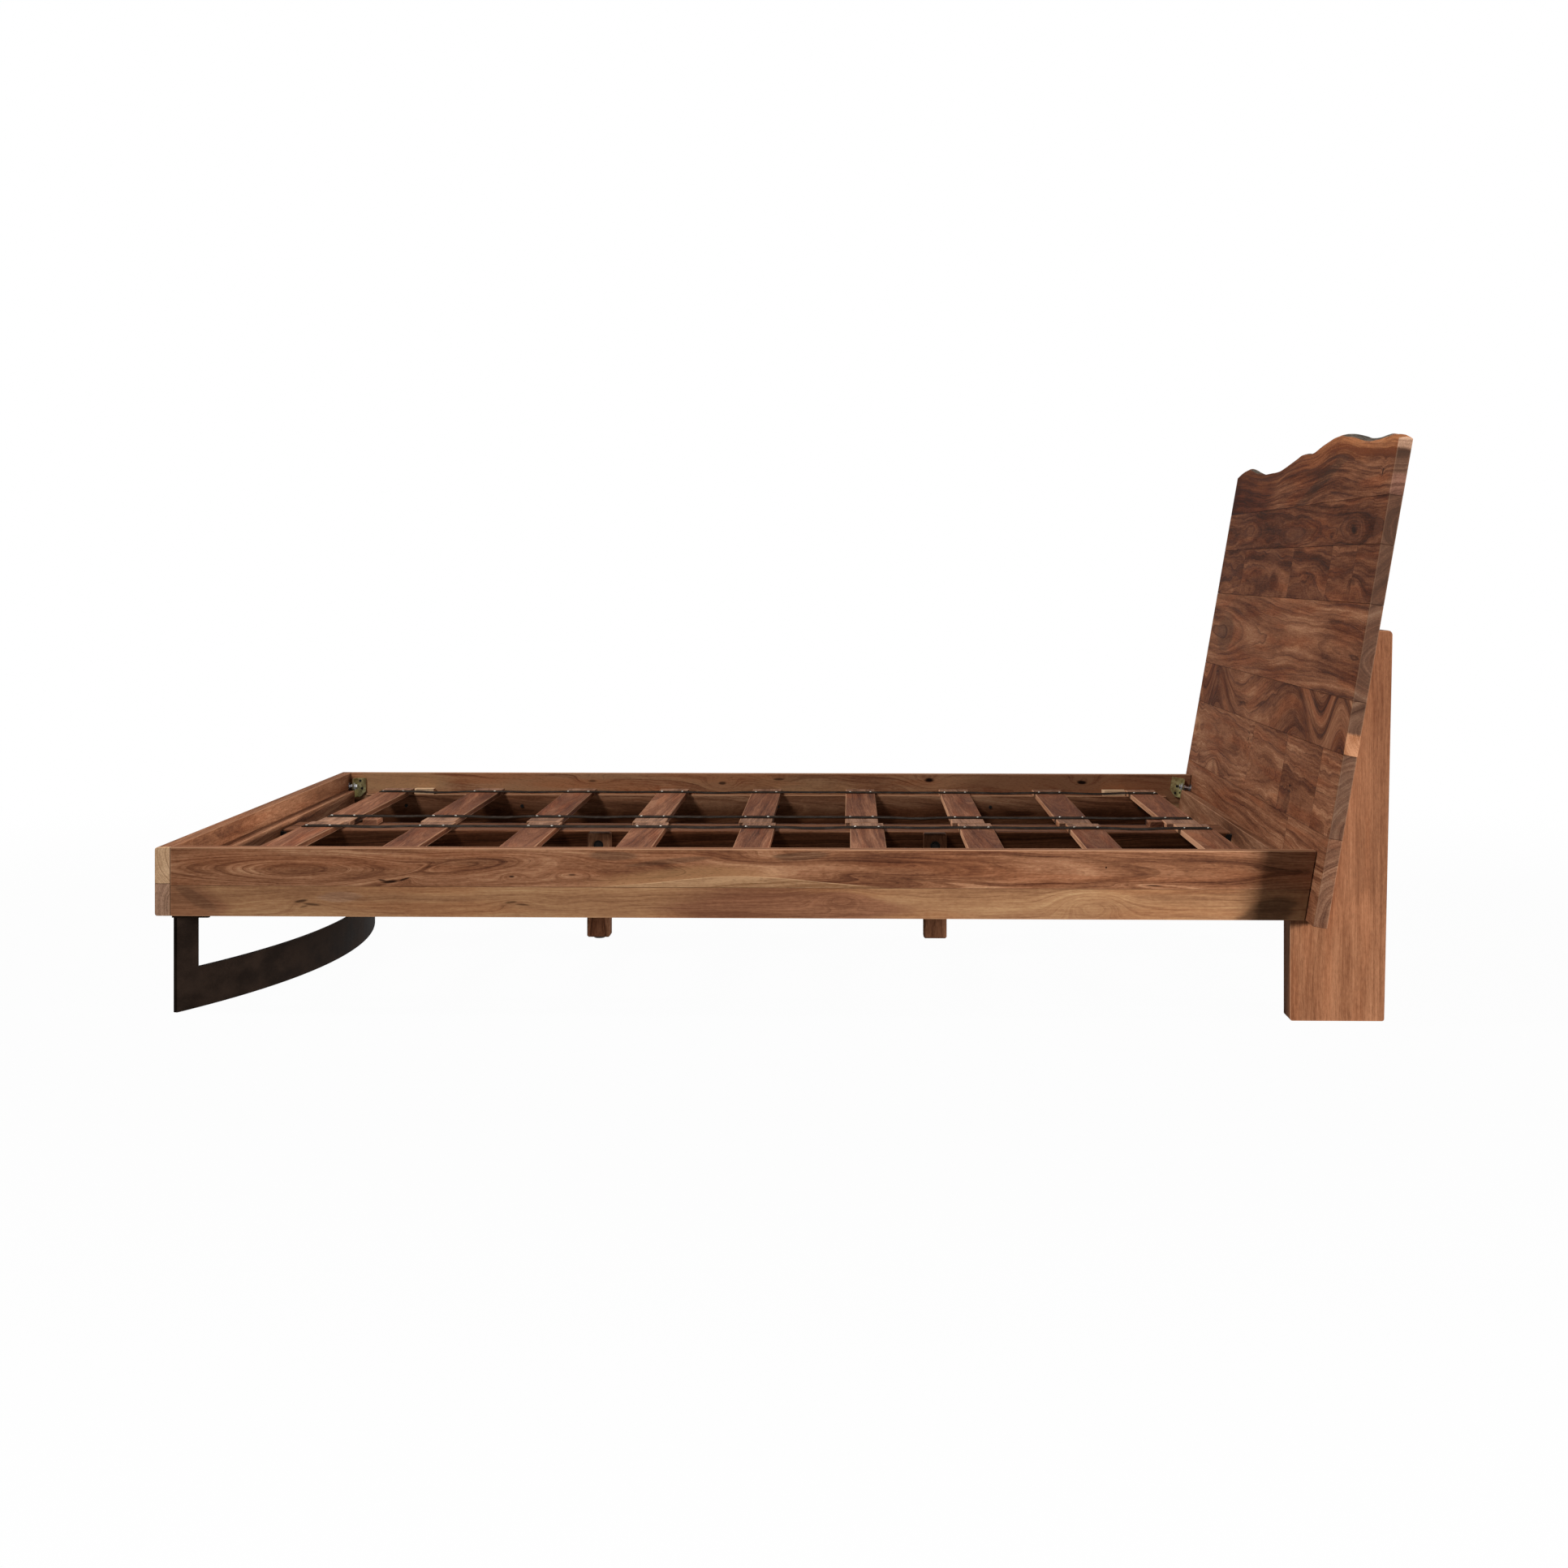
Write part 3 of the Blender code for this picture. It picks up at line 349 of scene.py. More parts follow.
def ring_distance(parts, grain, size, seed, pith, taper, sway, curl, curl_size):
    """Distance from the pith, with a wandering trunk and small curls."""
    along, across, deep = parts
    wander = noise(grain, (0.5, 0.1, 0.1), seed)
    ripple = noise(grain, curl_size, seed + 5, detail=1.4, roughness=0.4)
    side = across - (pith[0] * size[1]) + wander.swing(sway)
    below = deep + pith[1]
    return (side * side + below * below) ** 0.5 + along * taper + ripple.swing(curl)


print("knots are mounds in the ring distance, and reach", MOUND_DEPTH, "m through a board")

# %% [markdown]
# ## One wood finish for all boards
# Acacia is brown with darker and redder bands, a thin dark line where each year's growth stopped, and fine pores.
# Broad bands are soft noise along the ring distance. The years are its whole numbers: each darkens towards its
# end and breaks off sharply, and some are stronger than others. Pores are short dark dashes along the grain. A
# colour ramp turns the sum into wood colours, which keeps every board inside one family. End grain drinks the
# oil, so it dries darker and greyer. The pale outer edges are partly wear and partly a painted highlight, and a
# butted end gets a thin dark line, a painted shadow in the gap of its joint.

# %% Choose the wood colours
TONES = (0.1, 0.34, 0.52, 0.7, 0.92)
WOODS = {
    "red_brown": ((62, 36, 26), (102, 64, 45), (130, 86, 60), (154, 107, 78), (182, 137, 102)),
    "walnut": ((42, 21, 13), (86, 49, 33), (120, 75, 52), (148, 98, 70), (184, 133, 99)),
    "tan": ((104, 68, 48), (138, 97, 68), (158, 116, 82), (174, 134, 96), (192, 156, 114)),
    "warm": ((80, 48, 32), (108, 69, 48), (127, 85, 60), (144, 99, 71), (166, 121, 90)),
    "inner": ((66, 40, 28), (100, 64, 45), (126, 84, 60), (148, 104, 77), (174, 130, 99)),
    "slat": ((62, 34, 22), (96, 58, 41), (118, 75, 54), (138, 91, 67), (166, 117, 88)),
}
PATCHES = {
    "gold": ((140, 102, 70), (190, 152, 112)), "orange": ((150, 92, 58), (212, 150, 110)),
    "pink": ((108, 68, 49), (150, 102, 75)), "smoke": ((56, 38, 28), (102, 74, 56)),
    "blond": ((140, 90, 60), (184, 132, 98)), "grey": ((134, 102, 82), (186, 148, 122)),
    "rose": ((92, 60, 50), (140, 98, 82)), "redwood": ((44, 16, 8), (98, 47, 29)),
    "cream": ((172, 134, 100), (222, 184, 146)),
}
GROWTH_LINE, KNOT, PORE = paint(44, 23, 15), paint(30, 17, 12), paint(46, 28, 20)
WORN_AND_LIT_EDGE, END_GREY = paint(196, 148, 114), paint(88, 66, 54)
END_TINT, RED_TINT = (0.6, 0.72, 0.84), (1.0, 0.84, 0.76)
print("wood families:", ", ".join(WOODS), "and patches:", ", ".join(PATCHES))

# %% Draw the years and the broad bands
def figure(grain, parts, rings, seed, bands, years):
    """Broad bands, fine streaks, and the shade and dark line at the end of each year."""
    drift = parts[0] * 1.6 + seed

    def along_rings(per_metre, stretch, detail, roughness):
        spot = vector([rings * per_metre, drift * stretch])
        return grain.node("TexNoise", {"noise_dimensions": "2D"}, {
            "Vector": spot, "Scale": 1.0, "Detail": detail, "Roughness": roughness})

    broad = along_rings(bands, 1.0, 2, 0.5)
    fine = along_rings(bands * 4.5, 2.5, 4, 0.7)
    count = rings * years + broad.swing(1.8) + seed
    year = count.math("FRACT", count)
    whole = count.math("FLOOR", count) * 0.731 + drift * 0.35
    strong = whole.node("TexNoise", {"noise_dimensions": "1D"}, {
        "W": whole, "Scale": 1.0, "Detail": 1.0}).rise(0.38, 0.62)
    late = year.rise(0.35, 0.96) * year.fall(0.96, 1.0) * strong
    line = year.rise(0.87, 0.93) * year.fall(0.95, 0.99) * strong
    return broad, fine, late, line


print("figure: broad bands, fine streaks, late wood and growth lines")

# %% Find a board's ends, worn edges and glue lines
def board_edges(parts, size, glued):
    """Distances to the sawn ends, to the nearest outer arris (paler from wear and a painted highlight), and to the
    glued edges.
    """
    along, across, deep = parts
    ends, faces = along.least(size[0] - along), deep.least(size[2] - deep)
    low, high = across, size[1] - across
    if glued == "both":
        return ends, ends.most(faces), low.least(high)
    sides = {"": low.least(high), "low": high, "high": low}[glued]
    smallest, largest = ends.least(faces).least(sides), ends.most(faces).most(sides)
    middle = ends + faces + sides - smallest - largest
    return ends, middle, {"": None, "low": low, "high": high}[glued]


print("edges: ends, arrises, glue lines")

# %% Write the wood finish
STAVE_SHIFT = (2.37, 0.031, 0.017)  # from one short length's place in the log to the next one's
END_DEPTH, BUTT_SHADOW_DEPTH, WOOD_BUMP = (0.0002, 0.001), (0.0004, 0.0014), 0.00012
GLUE_WIDTH, JOINT_WIDTH, WORN_AND_LIT_WIDTH = (0.0002, 0.0011), (0.0004, 0.0016), (0.0005, 0.0024)


def set_finish(node, material):
    """Puts the material in every slot of a piece."""
    mesh = solid(node).data
    if not mesh.materials:
        mesh.materials.append(material)
    for slot in range(len(mesh.materials)):
        mesh.materials[slot] = material


def wood_finish(node, along, across, wood, seed, pith=(0.5, 0.05), taper=0.02, sway=0.02, curl=0.004,
                curl_size=(0.085, 0.024, 0.03), bands=110, years=130, line_dark=0.35, streaks=0.8,
                knots=(), patches=(), specks=(), joints=(), shade=0.0, redder=0.5, glued="",
                contrast=1.0, ends="sawn", end_grain=0.4, wear_and_highlight=0.3, pores=0.3, glue_line=0.25,
                bend=None, marks=None):
    """Gives one board its own piece of wood."""
    axes, low, size = board_axes(node, along, across)
    material, place = new_finish("acacia_" + node)
    straight, board = grain_place(place, axes, low)
    parts = [straight[0], bend(straight) if bend else straight[1], straight[2]]
    stave = 0.0
    for at in joints:
        stave = straight[0].math("GREATER_THAN", straight[0], at) + stave
    if joints:
        parts = [part + stave * step for part, step in zip(parts, STAVE_SHIFT)]
    grain = vector(parts)
    rings = ring_distance(parts, grain, size, seed, pith, taper, sway, curl, curl_size)
    for knot in knots:
        rings = rings + mound(board, *knot[:4], *knot[6:]) * knot[4]
    broad, fine, late, line = figure(grain, parts, rings, seed, bands, years)
    blotch = noise(grain, (0.26, 0.04, 0.04), seed + 9)
    fibre = noise(grain, (0.05, 0.0022, 0.0022), seed + 2, detail=4, roughness=0.7)
    mottle = noise(grain, (0.009, 0.0045, 0.0045), seed + 6, detail=3, roughness=0.6)
    pore = noise(grain, (0.008, 0.0008, 0.0008), seed + 4, detail=0).rise(0.6, 0.72)
    tone = (0.56 + shade + broad.swing(0.75) * contrast + fine.swing(streaks) * contrast
            + blotch.swing(0.45) + fibre.swing(0.6) + mottle.swing(0.3) - late * 0.12 * contrast)
    if joints:
        tone = tone + stave.math("FRACT", stave * 0.618 + seed).swing(0.14)
    stops = [(at, paint(*shown)) for at, shown in zip(TONES, WOODS[wood])]
    colour = tone.node("ValToRGB", {"stops": stops}, {"Fac": tone})
    warm = noise(grain, (0.35, 0.03, 0.05), seed + 13, detail=1).rise(0.42, 0.66)
    colour = mix(warm * redder, colour, darken(colour, RED_TINT, warm))
    to_end, to_arris, to_glue = board_edges(straight, size, glued)
    if ends == "sawn":
        at_end = to_end.fall(*END_DEPTH) * end_grain
        colour = mix(at_end * 0.5, darken(colour, END_TINT, at_end), END_GREY)
    for patch in patches:
        dark, light = PATCHES[patch[5]]
        inside = (mound(board, *patch[:4], *patch[6:]) + broad.swing(0.5) + fibre.swing(0.2)).rise(0.36, 0.6)
        colour = mix(inside * patch[4], colour, mix(tone.rise(0.3, 0.8), paint(*dark), paint(*light)))
    if marks:
        colour = marks(colour, straight, tone, broad, fibre)
    colour = mix(line * line_dark, colour, GROWTH_LINE)
    colour = mix(pore * pores, colour, PORE)
    for at, up, length, width, _, dark, *turn in knots:
        if dark:
            heart = mound(board, at, up, length * 0.3, width * 0.34, *turn)
            colour = mix((heart + fine.swing(0.5)).rise(0.25, 0.75) * dark, colour, KNOT)
    for spot in specks:
        pepper = noise(grain, (0.014, 0.006, 0.01), seed + 21).rise(0.54, 0.62)
        colour = mix(mound(board, *spot) * pepper * 0.8, colour, KNOT)
    for at in joints:
        colour = mix((straight[0] - at).absolute().fall(*JOINT_WIDTH) * 0.7, colour, PORE)
    # Pale arrises: partly wear, partly a painted highlight along the edges.
    colour = mix(to_arris.fall(*WORN_AND_LIT_WIDTH) * (fine * 0.8 + 0.6) * wear_and_highlight, colour, WORN_AND_LIT_EDGE)
    # A butted end gets a dark line: painted shadow in the gap where it meets the next part.
    if ends == "butted":
        colour = mix(to_end.fall(*BUTT_SHADOW_DEPTH) * 0.9, colour, KNOT)
    if to_glue:
        colour = mix(to_glue.fall(*GLUE_WIDTH) * glue_line, colour, PORE)
    roughness = 0.62 + fine.swing(0.18) + pore * 0.12 - late * 0.05
    height = fibre * 0.6 - pore * 0.7 + fine * 0.4 - line * 0.3
    finish_surface(place, colour, roughness, height, WOOD_BUMP, gloss=0.008)
    set_finish(node, material)


print("the wood finish is ready")

# %% [markdown]
# ## The rails
# Each rail is two boards glued edge to edge. The near upper board was cut close to the pith: a long oval eye
# lies near the foot end, and knots follow it. The lower boards came from nearer the bark, so they are golden.
# Knots are given as (along, across, half length, half width, push on the rings, darkness), measured from the
# board's own foot end and lower edge. Patches end in a strength and a colour. A turn in degrees may follow.

# %% Draw the golden band on the near rail
X, Y, Z = (1, 0, 0), (0, 1, 0), (0, 0, 1)
HUMP_AT, HUMP_REACH, HUMP_HEIGHT = 1.03, 0.165, 0.0205


def golden_band(colour, parts, tone, broad, fibre):
    """Sapwood that rises from the glue line as a low hump, with a thin pale line on its crest."""
    along, across, _ = parts
    hump = ((along - HUMP_AT) / HUMP_REACH).bell() * HUMP_HEIGHT
    above = across - hump + broad.swing(0.004)
    gold = mix(tone.rise(0.3, 0.8), paint(134, 96, 66), paint(178, 140, 104))
    glow = ((along - 0.93) / 0.2).bell() * above.fall(0.0, 0.045)
    colour = mix((glow + fibre.swing(0.3)).rise(0.3, 0.8) * 0.55, colour, paint(172, 128, 88))
    colour = mix(hump.rise(0.001, 0.004) * above.fall(-0.0004, 0.0006) * 0.85, colour, gold)
    crest = above.absolute().fall(0.0003, 0.0011) * hump.rise(0.0015, 0.005)
    return mix(crest * 0.55, colour, paint(206, 164, 124))


print("the band's crest is", HUMP_HEIGHT * 1000, "mm above the glue line")

# %% Finish the side rails and the foot rail
wood_finish(
    "side_rail_near_upper_board", Y, Z, "red_brown", 1.3, pith=(0.45, 0.03), taper=0.016, sway=0.024, curl=0.003,
    bands=130, years=300, line_dark=0.3, glued="low", ends="butted", wear_and_highlight=0.9, shade=0.03, marks=golden_band,
    knots=(
        (0.24, 0.03, 0.17, 0.03, -0.026, 0.0), (0.4, 0.0085, 0.06, 0.009, 0.01, 0.95, 6),
        (0.425, 0.013, 0.045, 0.006, 0.004, 0.9, 18), (0.385, 0.011, 0.03, 0.006, 0.0, 0.8, -8),
        (0.47, 0.036, 0.03, 0.005, 0.005, 0.5, 20), (0.619, 0.0185, 0.02, 0.006, 0.008, 0.9),
        (0.728, 0.022, 0.03, 0.007, 0.008, 0.7), (0.56, 0.044, 0.12, 0.016, -0.014, 0.15, 5),
        (1.11, 0.058, 0.09, 0.011, 0.008, 0.35, 3), (1.685, 0.0383, 0.008, 0.006, 0.0, 1.0),
        (1.77, 0.006, 0.06, 0.005, 0.008, 0.8, -3), (1.35, 0.015, 0.14, 0.006, 0.006, 0.35, -4)),
    patches=(
        (0.8, 0.056, 0.05, 0.01, 0.6, "smoke"), (1.14, 0.056, 0.06, 0.01, 0.6, "smoke", 4),
        (0.9, 0.046, 0.1, 0.006, 0.5, "smoke", 6)))
wood_finish(
    "side_rail_near_lower_board", Y, Z, "tan", 2.1, pith=(1.9, 0.06), taper=0.01, curl=0.007, bands=70, years=260,
    line_dark=0.16, glued="high", contrast=0.6, ends="butted", pores=0.12, shade=-0.07,
    knots=(
        (0.249, 0.025, 0.06, 0.018, 0.01, 0.0), (0.238, 0.028, 0.05, 0.009, 0.003, 0.75, 9),
        (0.258, 0.022, 0.065, 0.008, 0.003, 0.7, -5), (0.243, 0.018, 0.03, 0.006, 0.002, 0.5, 12),
        (0.627, 0.025, 0.045, 0.014, 0.008, 0.0), (0.618, 0.027, 0.045, 0.008, 0.003, 0.6, 6),
        (0.638, 0.023, 0.05, 0.006, 0.002, 0.6, -4), (1.66, 0.026, 0.06, 0.026, 0.04, 0.0),
        (1.21, 0.036, 0.05, 0.016, 0.024, 0.0)),
    patches=(
        (1.09, 0.015, 0.26, 0.05, 0.9, "pink"), (0.02, 0.02, 0.1, 0.05, 0.7, "pink"),
        (0.31, 0.036, 0.05, 0.012, 0.5, "grey"), (0.045, 0.034, 0.05, 0.014, 0.35, "smoke", -30),
        # The head-end patch is partly dark figure and partly a painted shadow cast by the headboard's overhang.
        (1.955, -0.01, 0.1, 0.042, 0.65, "smoke", 38)))
# The far upper board's high shade lightens it as a whole, partly as painted light on its inner face.
wood_finish(
    "side_rail_far_upper_board", Y, Z, "red_brown", 3.7, pith=(0.4, 0.05), bands=120, glued="low", ends="butted",
    wear_and_highlight=0.5, shade=0.34, years=220, contrast=1.2, redder=1.2,
    knots=(
        (0.915, 0.046, 0.04, 0.014, 0.012, 0.8), (1.421, 0.055, 0.045, 0.02, 0.012, 1.0),
        (1.793, 0.05, 0.045, 0.018, 0.012, 1.0), (1.054, 0.056, 0.05, 0.01, 0.008, 0.7),
        (0.596, 0.051, 0.04, 0.012, 0.01, 0.6)),
    patches=(
        (1.1, 0.03, 0.2, 0.05, 0.3, "gold"), (0.12, 0.05, 0.16, 0.03, 0.6, "gold"),
        (1.9, 0.03, 0.5, 0.14, 0.45, "redwood")))
wood_finish("side_rail_far_lower_board", Y, Z, "tan", 4.9, pith=(1.4, 0.06), bands=90, glued="high", ends="butted")
wood_finish("foot_rail_upper_board", X, Z, "red_brown", 5.5, pith=(0.8, 0.04), glued="low", end_grain=0.1,
            contrast=0.7, patches=((1.6, 0.03, 0.012, 0.3, 1.0, "cream"),))
wood_finish("foot_rail_lower_board", X, Z, "red_brown", 6.3, pith=(0.3, 0.05), glued="high", end_grain=0.2,
            contrast=0.7, patches=((1.6, 0.03, 0.01, 0.3, 0.9, "grey"),))
print("rails finished")

# %% [markdown]
# ## The headboard
# The panel is six boards under one slab that keeps the wavy outside of the tree. They were chosen for lively
# figure, so their rings sway more, and several of the boards are made of short lengths.

# %% Finish the headboard's boards
def panel_board(node, seed, **look):
    wood_finish(node, X, UP_THE_PANEL, "walnut", seed, **{
        "glued": "both", "line_dark": 0.45, "years": 110, "end_grain": 1.0, "redder": 0.8, "streaks": 0.45,
        "glue_line": 0.35, "wear_and_highlight": 0.12, **look})


def swirl(parts):
    """Swings the grain from side to side in long, uneven curls."""
    turned = parts[0] * 10.0 + parts[1] * 11.0
    turned = turned + turned.math("SINE", parts[0] * 3.7) * 1.9
    return parts[1] + turned.math("SINE", turned) * 0.042


panel_board("headboard_board_1", 11.2, pith=(0.3, 0.04), sway=0.04, curl=0.006, line_dark=0.35, joints=(1.356,),
            shade=0.1, end_grain=0.7)
panel_board(
    "headboard_board_2", 12.9, pith=(0.6, 0.02), sway=0.05, curl=0.01, curl_size=(0.06, 0.05, 0.04),
    joints=(0.831, 1.218, 1.564), shade=0.06, contrast=1.1,
    knots=(
        (0.38, 0.022, 0.08, 0.03, 0.02, 0.3), (1.325, 0.055, 0.05, 0.006, 0.006, 0.8),
        (0.15, 0.032, 0.03, 0.012, 0.008, 0.6, 60)),
    specks=((0.79, 0.106, 0.07, 0.03), (1.32, 0.05, 0.07, 0.01)))
panel_board(
    "headboard_board_3", 13.4, pith=(0.5, 0.02), sway=0.05, curl=0.012, curl_size=(0.08, 0.06, 0.06), years=75,
    bands=60, shade=0.07, joints=(0.196,), contrast=1.3, bend=swirl,
    patches=((1.744, 0.018, 0.005, 0.024, 1.0, "blond"),))
panel_board(
    "headboard_board_4", 14.8, pith=(0.5, 0.025), taper=0.03, sway=0.04, curl=0.005, shade=0.04, line_dark=0.5,
    bands=80, knots=((0.22, 0.08, 0.17, 0.06, -0.014, 0.15), (1.72, 0.068, 0.44, 0.042, -0.04, 0.0, -4)),
    patches=((0.22, 0.08, 0.14, 0.05, 0.5, "smoke"),))
panel_board(
    "headboard_board_5", 15.1, pith=(0.5, 0.02), sway=0.05, curl=0.014, curl_size=(0.09, 0.06, 0.05), years=90,
    bands=80, shade=-0.14, joints=(0.323, 0.934, 1.333, 1.556), specks=((1.15, 0.045, 0.11, 0.022),),
    knots=(
        (1.15, 0.045, 0.13, 0.034, -0.014, 0.2, 10), (1.57, 0.038, 0.08, 0.024, -0.016, 0.5, -12),
        (0.46, 0.014, 0.07, 0.018, -0.01, 0.4)),
    patches=((0.12, 0.012, 0.14, 0.02, 0.25, "orange", -4), (0.72, 0.09, 0.1, 0.03, 0.3, "pink")))
panel_board(
    "headboard_board_6", 16.6, pith=(0.4, 0.02), sway=0.04, curl=0.008, years=130, shade=-0.16,
    knots=(
        (0.34, 0.058, 0.09, 0.026, -0.01, 0.2), (0.92, 0.026, 0.14, 0.026, -0.014, 0.25),
        (1.3, 0.017, 0.05, 0.014, -0.009, 0.5), (1.5, 0.028, 0.09, 0.024, -0.02, 0.9, -8)),
    patches=((1.7, 0.03, 0.05, 0.03, 0.4, "pink"), (0.9, 0.026, 0.14, 0.022, 0.35, "pink")))
print("six boards glued up, wavy grain on the third")

# %% [markdown]
# ## The live edge
# The slab's top is the outside of the tree, so its rings run beside the wavy edge, and ever straighter towards
# the glue line. The wave's height is read from the slab's own mesh into a curve node, and the place across the
# board is bent by it. Just under the bark the wood is paler and more orange.

# %% Follow the wavy top
slab_axes, slab_low, slab_size = board_axes("live_edge_slab", X, UP_THE_PANEL)
WAVE_POINTS, FLOW_REACH, CREST_LEAST = 49, 0.07, 0.2


def wave_heights():
    """The slab's top height at even steps along it, as shares of its size."""
    crest = {}
    for corner in solid("live_edge_slab").data.vertices:
        at, up = ((corner.co.dot(slab_axes[i]) - slab_low[i]) / slab_size[i] for i in (0, 1))
        crest[round(at, 3)] = max(up, crest.get(round(at, 3), 0))
    crest = sorted((at, up) for at, up in crest.items() if up > CREST_LEAST)
    heights = []
    for step in range(WAVE_POINTS):
        share = step / (WAVE_POINTS - 1)
        before = max((c for c in crest if c[0] <= share), default=crest[0])
        after = min((c for c in crest if c[0] >= share), default=crest[-1])
        part = (share - before[0]) / (after[0] - before[0]) if after[0] > before[0] else 0
        heights.append((share, before[1] + part * (after[1] - before[1])))
    return heights


def smoothed(curve):
    """The curve with each height averaged over its neighbours."""
    groups = [[h for other, h in curve if abs(other - share) < FLOW_REACH] for share, _ in curve]
    return [(share, sum(group) / len(group)) for (share, _), group in zip(curve, groups)]


WAVE = wave_heights()
FLOW = smoothed(WAVE)
WAVE_MEAN = sum(height for _, height in WAVE) / len(WAVE)


def height_along(curve, along):
    share = along / slab_size[0]
    return share.node("FloatCurve", {"points": curve}, {"Value": share}) * slab_size[1]


def follow_wave(parts):
    """Bends the place across the slab, fully at the top edge and less at the glue line."""
    along, across, _ = parts
    bent = height_along(FLOW, along) - WAVE_MEAN * slab_size[1]
    return across - bent * (0.4 + (across / slab_size[1]).least(1.0) * 0.6)


print("wave heights:", len(WAVE), [round(h, 2) for _, h in WAVE])

# %% Finish the slab
BARK = ((0.165, 0.325, 0.004), (0.82, 0.96, 0.004), (1.19, 1.64, 0.009))  # start, end and thickness


def bark_and_edge(colour, parts, tone, broad, fibre):
    """Orange wood under the wavy edge, and dark grey bark on three stretches of the edge itself."""
    along, across, _ = parts
    under = height_along(WAVE, along) - across
    near_edge = (under + broad.swing(0.05)).fall(0.004, 0.066)
    sunny = (along.rise(0.8, 1.3) * 0.65 + 0.25) * (slab_size[0] - along).rise(0.0003, 0.001)
    orange = mix(tone.rise(0.25, 0.75), paint(128, 70, 42), paint(200, 130, 84))
    colour = mix(near_edge * sunny, colour, orange)
    bark = 0.0
    for start, end, thick in BARK:
        bark = along.rise(start, start + 0.03) * along.fall(end - 0.05, end) * (
            under + fibre.swing(0.004)).fall(thick * 0.7, thick) + bark
    return mix(bark, colour, mix(fibre.rise(0.3, 0.7), paint(44, 39, 34), paint(128, 116, 102)))


panel_board(
    "live_edge_slab", 17.7, pith=(-0.6, 0.03), taper=0.012, sway=0.035, curl=0.008, curl_size=(0.16, 0.03, 0.03),
    bands=50, years=80, bend=follow_wave, marks=bark_and_edge, glued="low", line_dark=0.35, redder=1.0,
    contrast=1.3, shade=-0.08, streaks=0.65,
    knots=((1.66, 0.043, 0.03, 0.016, 0.007, 0.9, 70), (1.25, 0.07, 0.1, 0.016, 0.008, 0.3)),
    patches=(
        (1.744, 0.11, 0.006, 0.034, 1.0, "grey"), (1.744, 0.01, 0.006, 0.03, 0.6, "rose"),
        (0.06, 0.03, 0.6, 0.12, 0.85, "redwood"), (1.1, 0.045, 0.45, 0.018, 0.5, "smoke", 12)))
print("headboard finished")

# %% [markdown]
# ## Posts, ledgers, beam, legs and slats
# The posts are plain straight boards with the grain upright. What lies inside the bed is cheaper wood: darker,
# rougher and with fewer markings, and its darkness is partly painted shade on the beam and the ledgers' lower
# parts. Each slat is a board of its own, so each gets its own seed.

# %% Finish the rest of the wood
SIDES, SLAT_COUNT = ("near", "far"), 9


def shaded_foot(colour, parts, *_):
    """The ledgers are painted darker towards their lower edge, as shade inside the bed."""
    return mix(parts[1].rise(0.025, 0.075), darken(colour, (0.34, 0.28, 0.24)), colour)


def shaded_side(colour, parts, *_):
    """The beam's sides are painted darker than its top, as shade under the slats."""
    return mix(parts[2].rise(0.001, 0.003), colour, darken(colour, (0.42, 0.36, 0.32)))


def lit_and_shaded_slat_sides(width):
    """Painted light on a slat's long sides: the foot-side edge is painted bright as lit, the head-side edge darker
    as shaded.
    """
    def marks(colour, parts, tone, *_):
        painted_lit_side = mix(tone.rise(0.25, 0.75), paint(176, 118, 84), paint(236, 176, 136))
        colour = mix(parts[1].fall(0.0004, 0.0014) * 0.8, colour, painted_lit_side)
        painted_shaded_side = parts[1].rise(width - 0.0014, width - 0.0004)
        return mix(painted_shaded_side, colour, darken(colour, (0.55, 0.5, 0.46), painted_shaded_side))
    return marks


for number, side in enumerate(SIDES):
    wood_finish(
        f"headboard_post_{side}", Z, Y, "warm", 21.3 + number * 4, pith=(1.3, 0.05), taper=0.012, sway=0.014,
        curl=0.003, bands=60, years=90, line_dark=0.14, streaks=0.45, contrast=0.55, pores=0.16,
        knots=((0.075, 0.035, 0.11, 0.03, -0.016, 0.0), (0.46, 0.12, 0.13, 0.02, -0.008, 0.0)),
        # The orange patch at the post's foot is painted light: the lower post is lit brighter.
        patches=((0.02, 0.1, 0.22, 0.2, 0.15, "orange"),))
    wood_finish(f"side_ledger_{side}", Y, Z, "inner", 31.3 + number * 4, wear_and_highlight=0.9, contrast=1.2, ends="butted",
                marks=shaded_foot)
wood_finish("foot_cleat", X, Z, "inner", 33.3, ends="butted", shade=0.04)
wood_finish("head_cleat", X, UP_THE_PANEL, "inner", 34.1, shade=0.03, ends="butted")
# The beam's low shade darkens it as a whole: painted shade inside the bed.
wood_finish("centre_beam", Y, X, "inner", 35.7, shade=-0.12, marks=shaded_side)
for number in (1, 2):
    wood_finish(f"centre_leg_{number}", Z, Y, "inner", 36.1 + number, shade=-0.03, line_dark=0.2)
for number in range(1, SLAT_COUNT + 1):
    for side, offset in zip(SIDES, (0.0, 0.55)):
        low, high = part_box(f"slat_{side}_{number}")
        length, width = high.x - low.x, high.y - low.y
        wood_finish(f"slat_{side}_{number}", X, Y, "slat", 40.3 + number * 3.1 + offset,
                    pith=(1.5 - (number * 0.37) % 2, 0.04), bands=90, contrast=1.1, wear_and_highlight=0.5, pores=0.25,
                    redder=0.7 + 0.3 * math.sin(number * 1.7 + offset * 5), marks=lit_and_shaded_slat_sides(width),
                    shade=0.1 * math.sin(number * 2.3 + offset * 9),
                    # The pale grey patches at both ends of each slat are a painted highlight where the ends catch
                    # the light.
                    patches=((-0.01, width / 2, 0.1, 0.12, 0.55, "grey"),
                             (length + 0.01, width / 2, 0.11, 0.12, 0.55, "grey")))
print("slats, beam and legs finished")

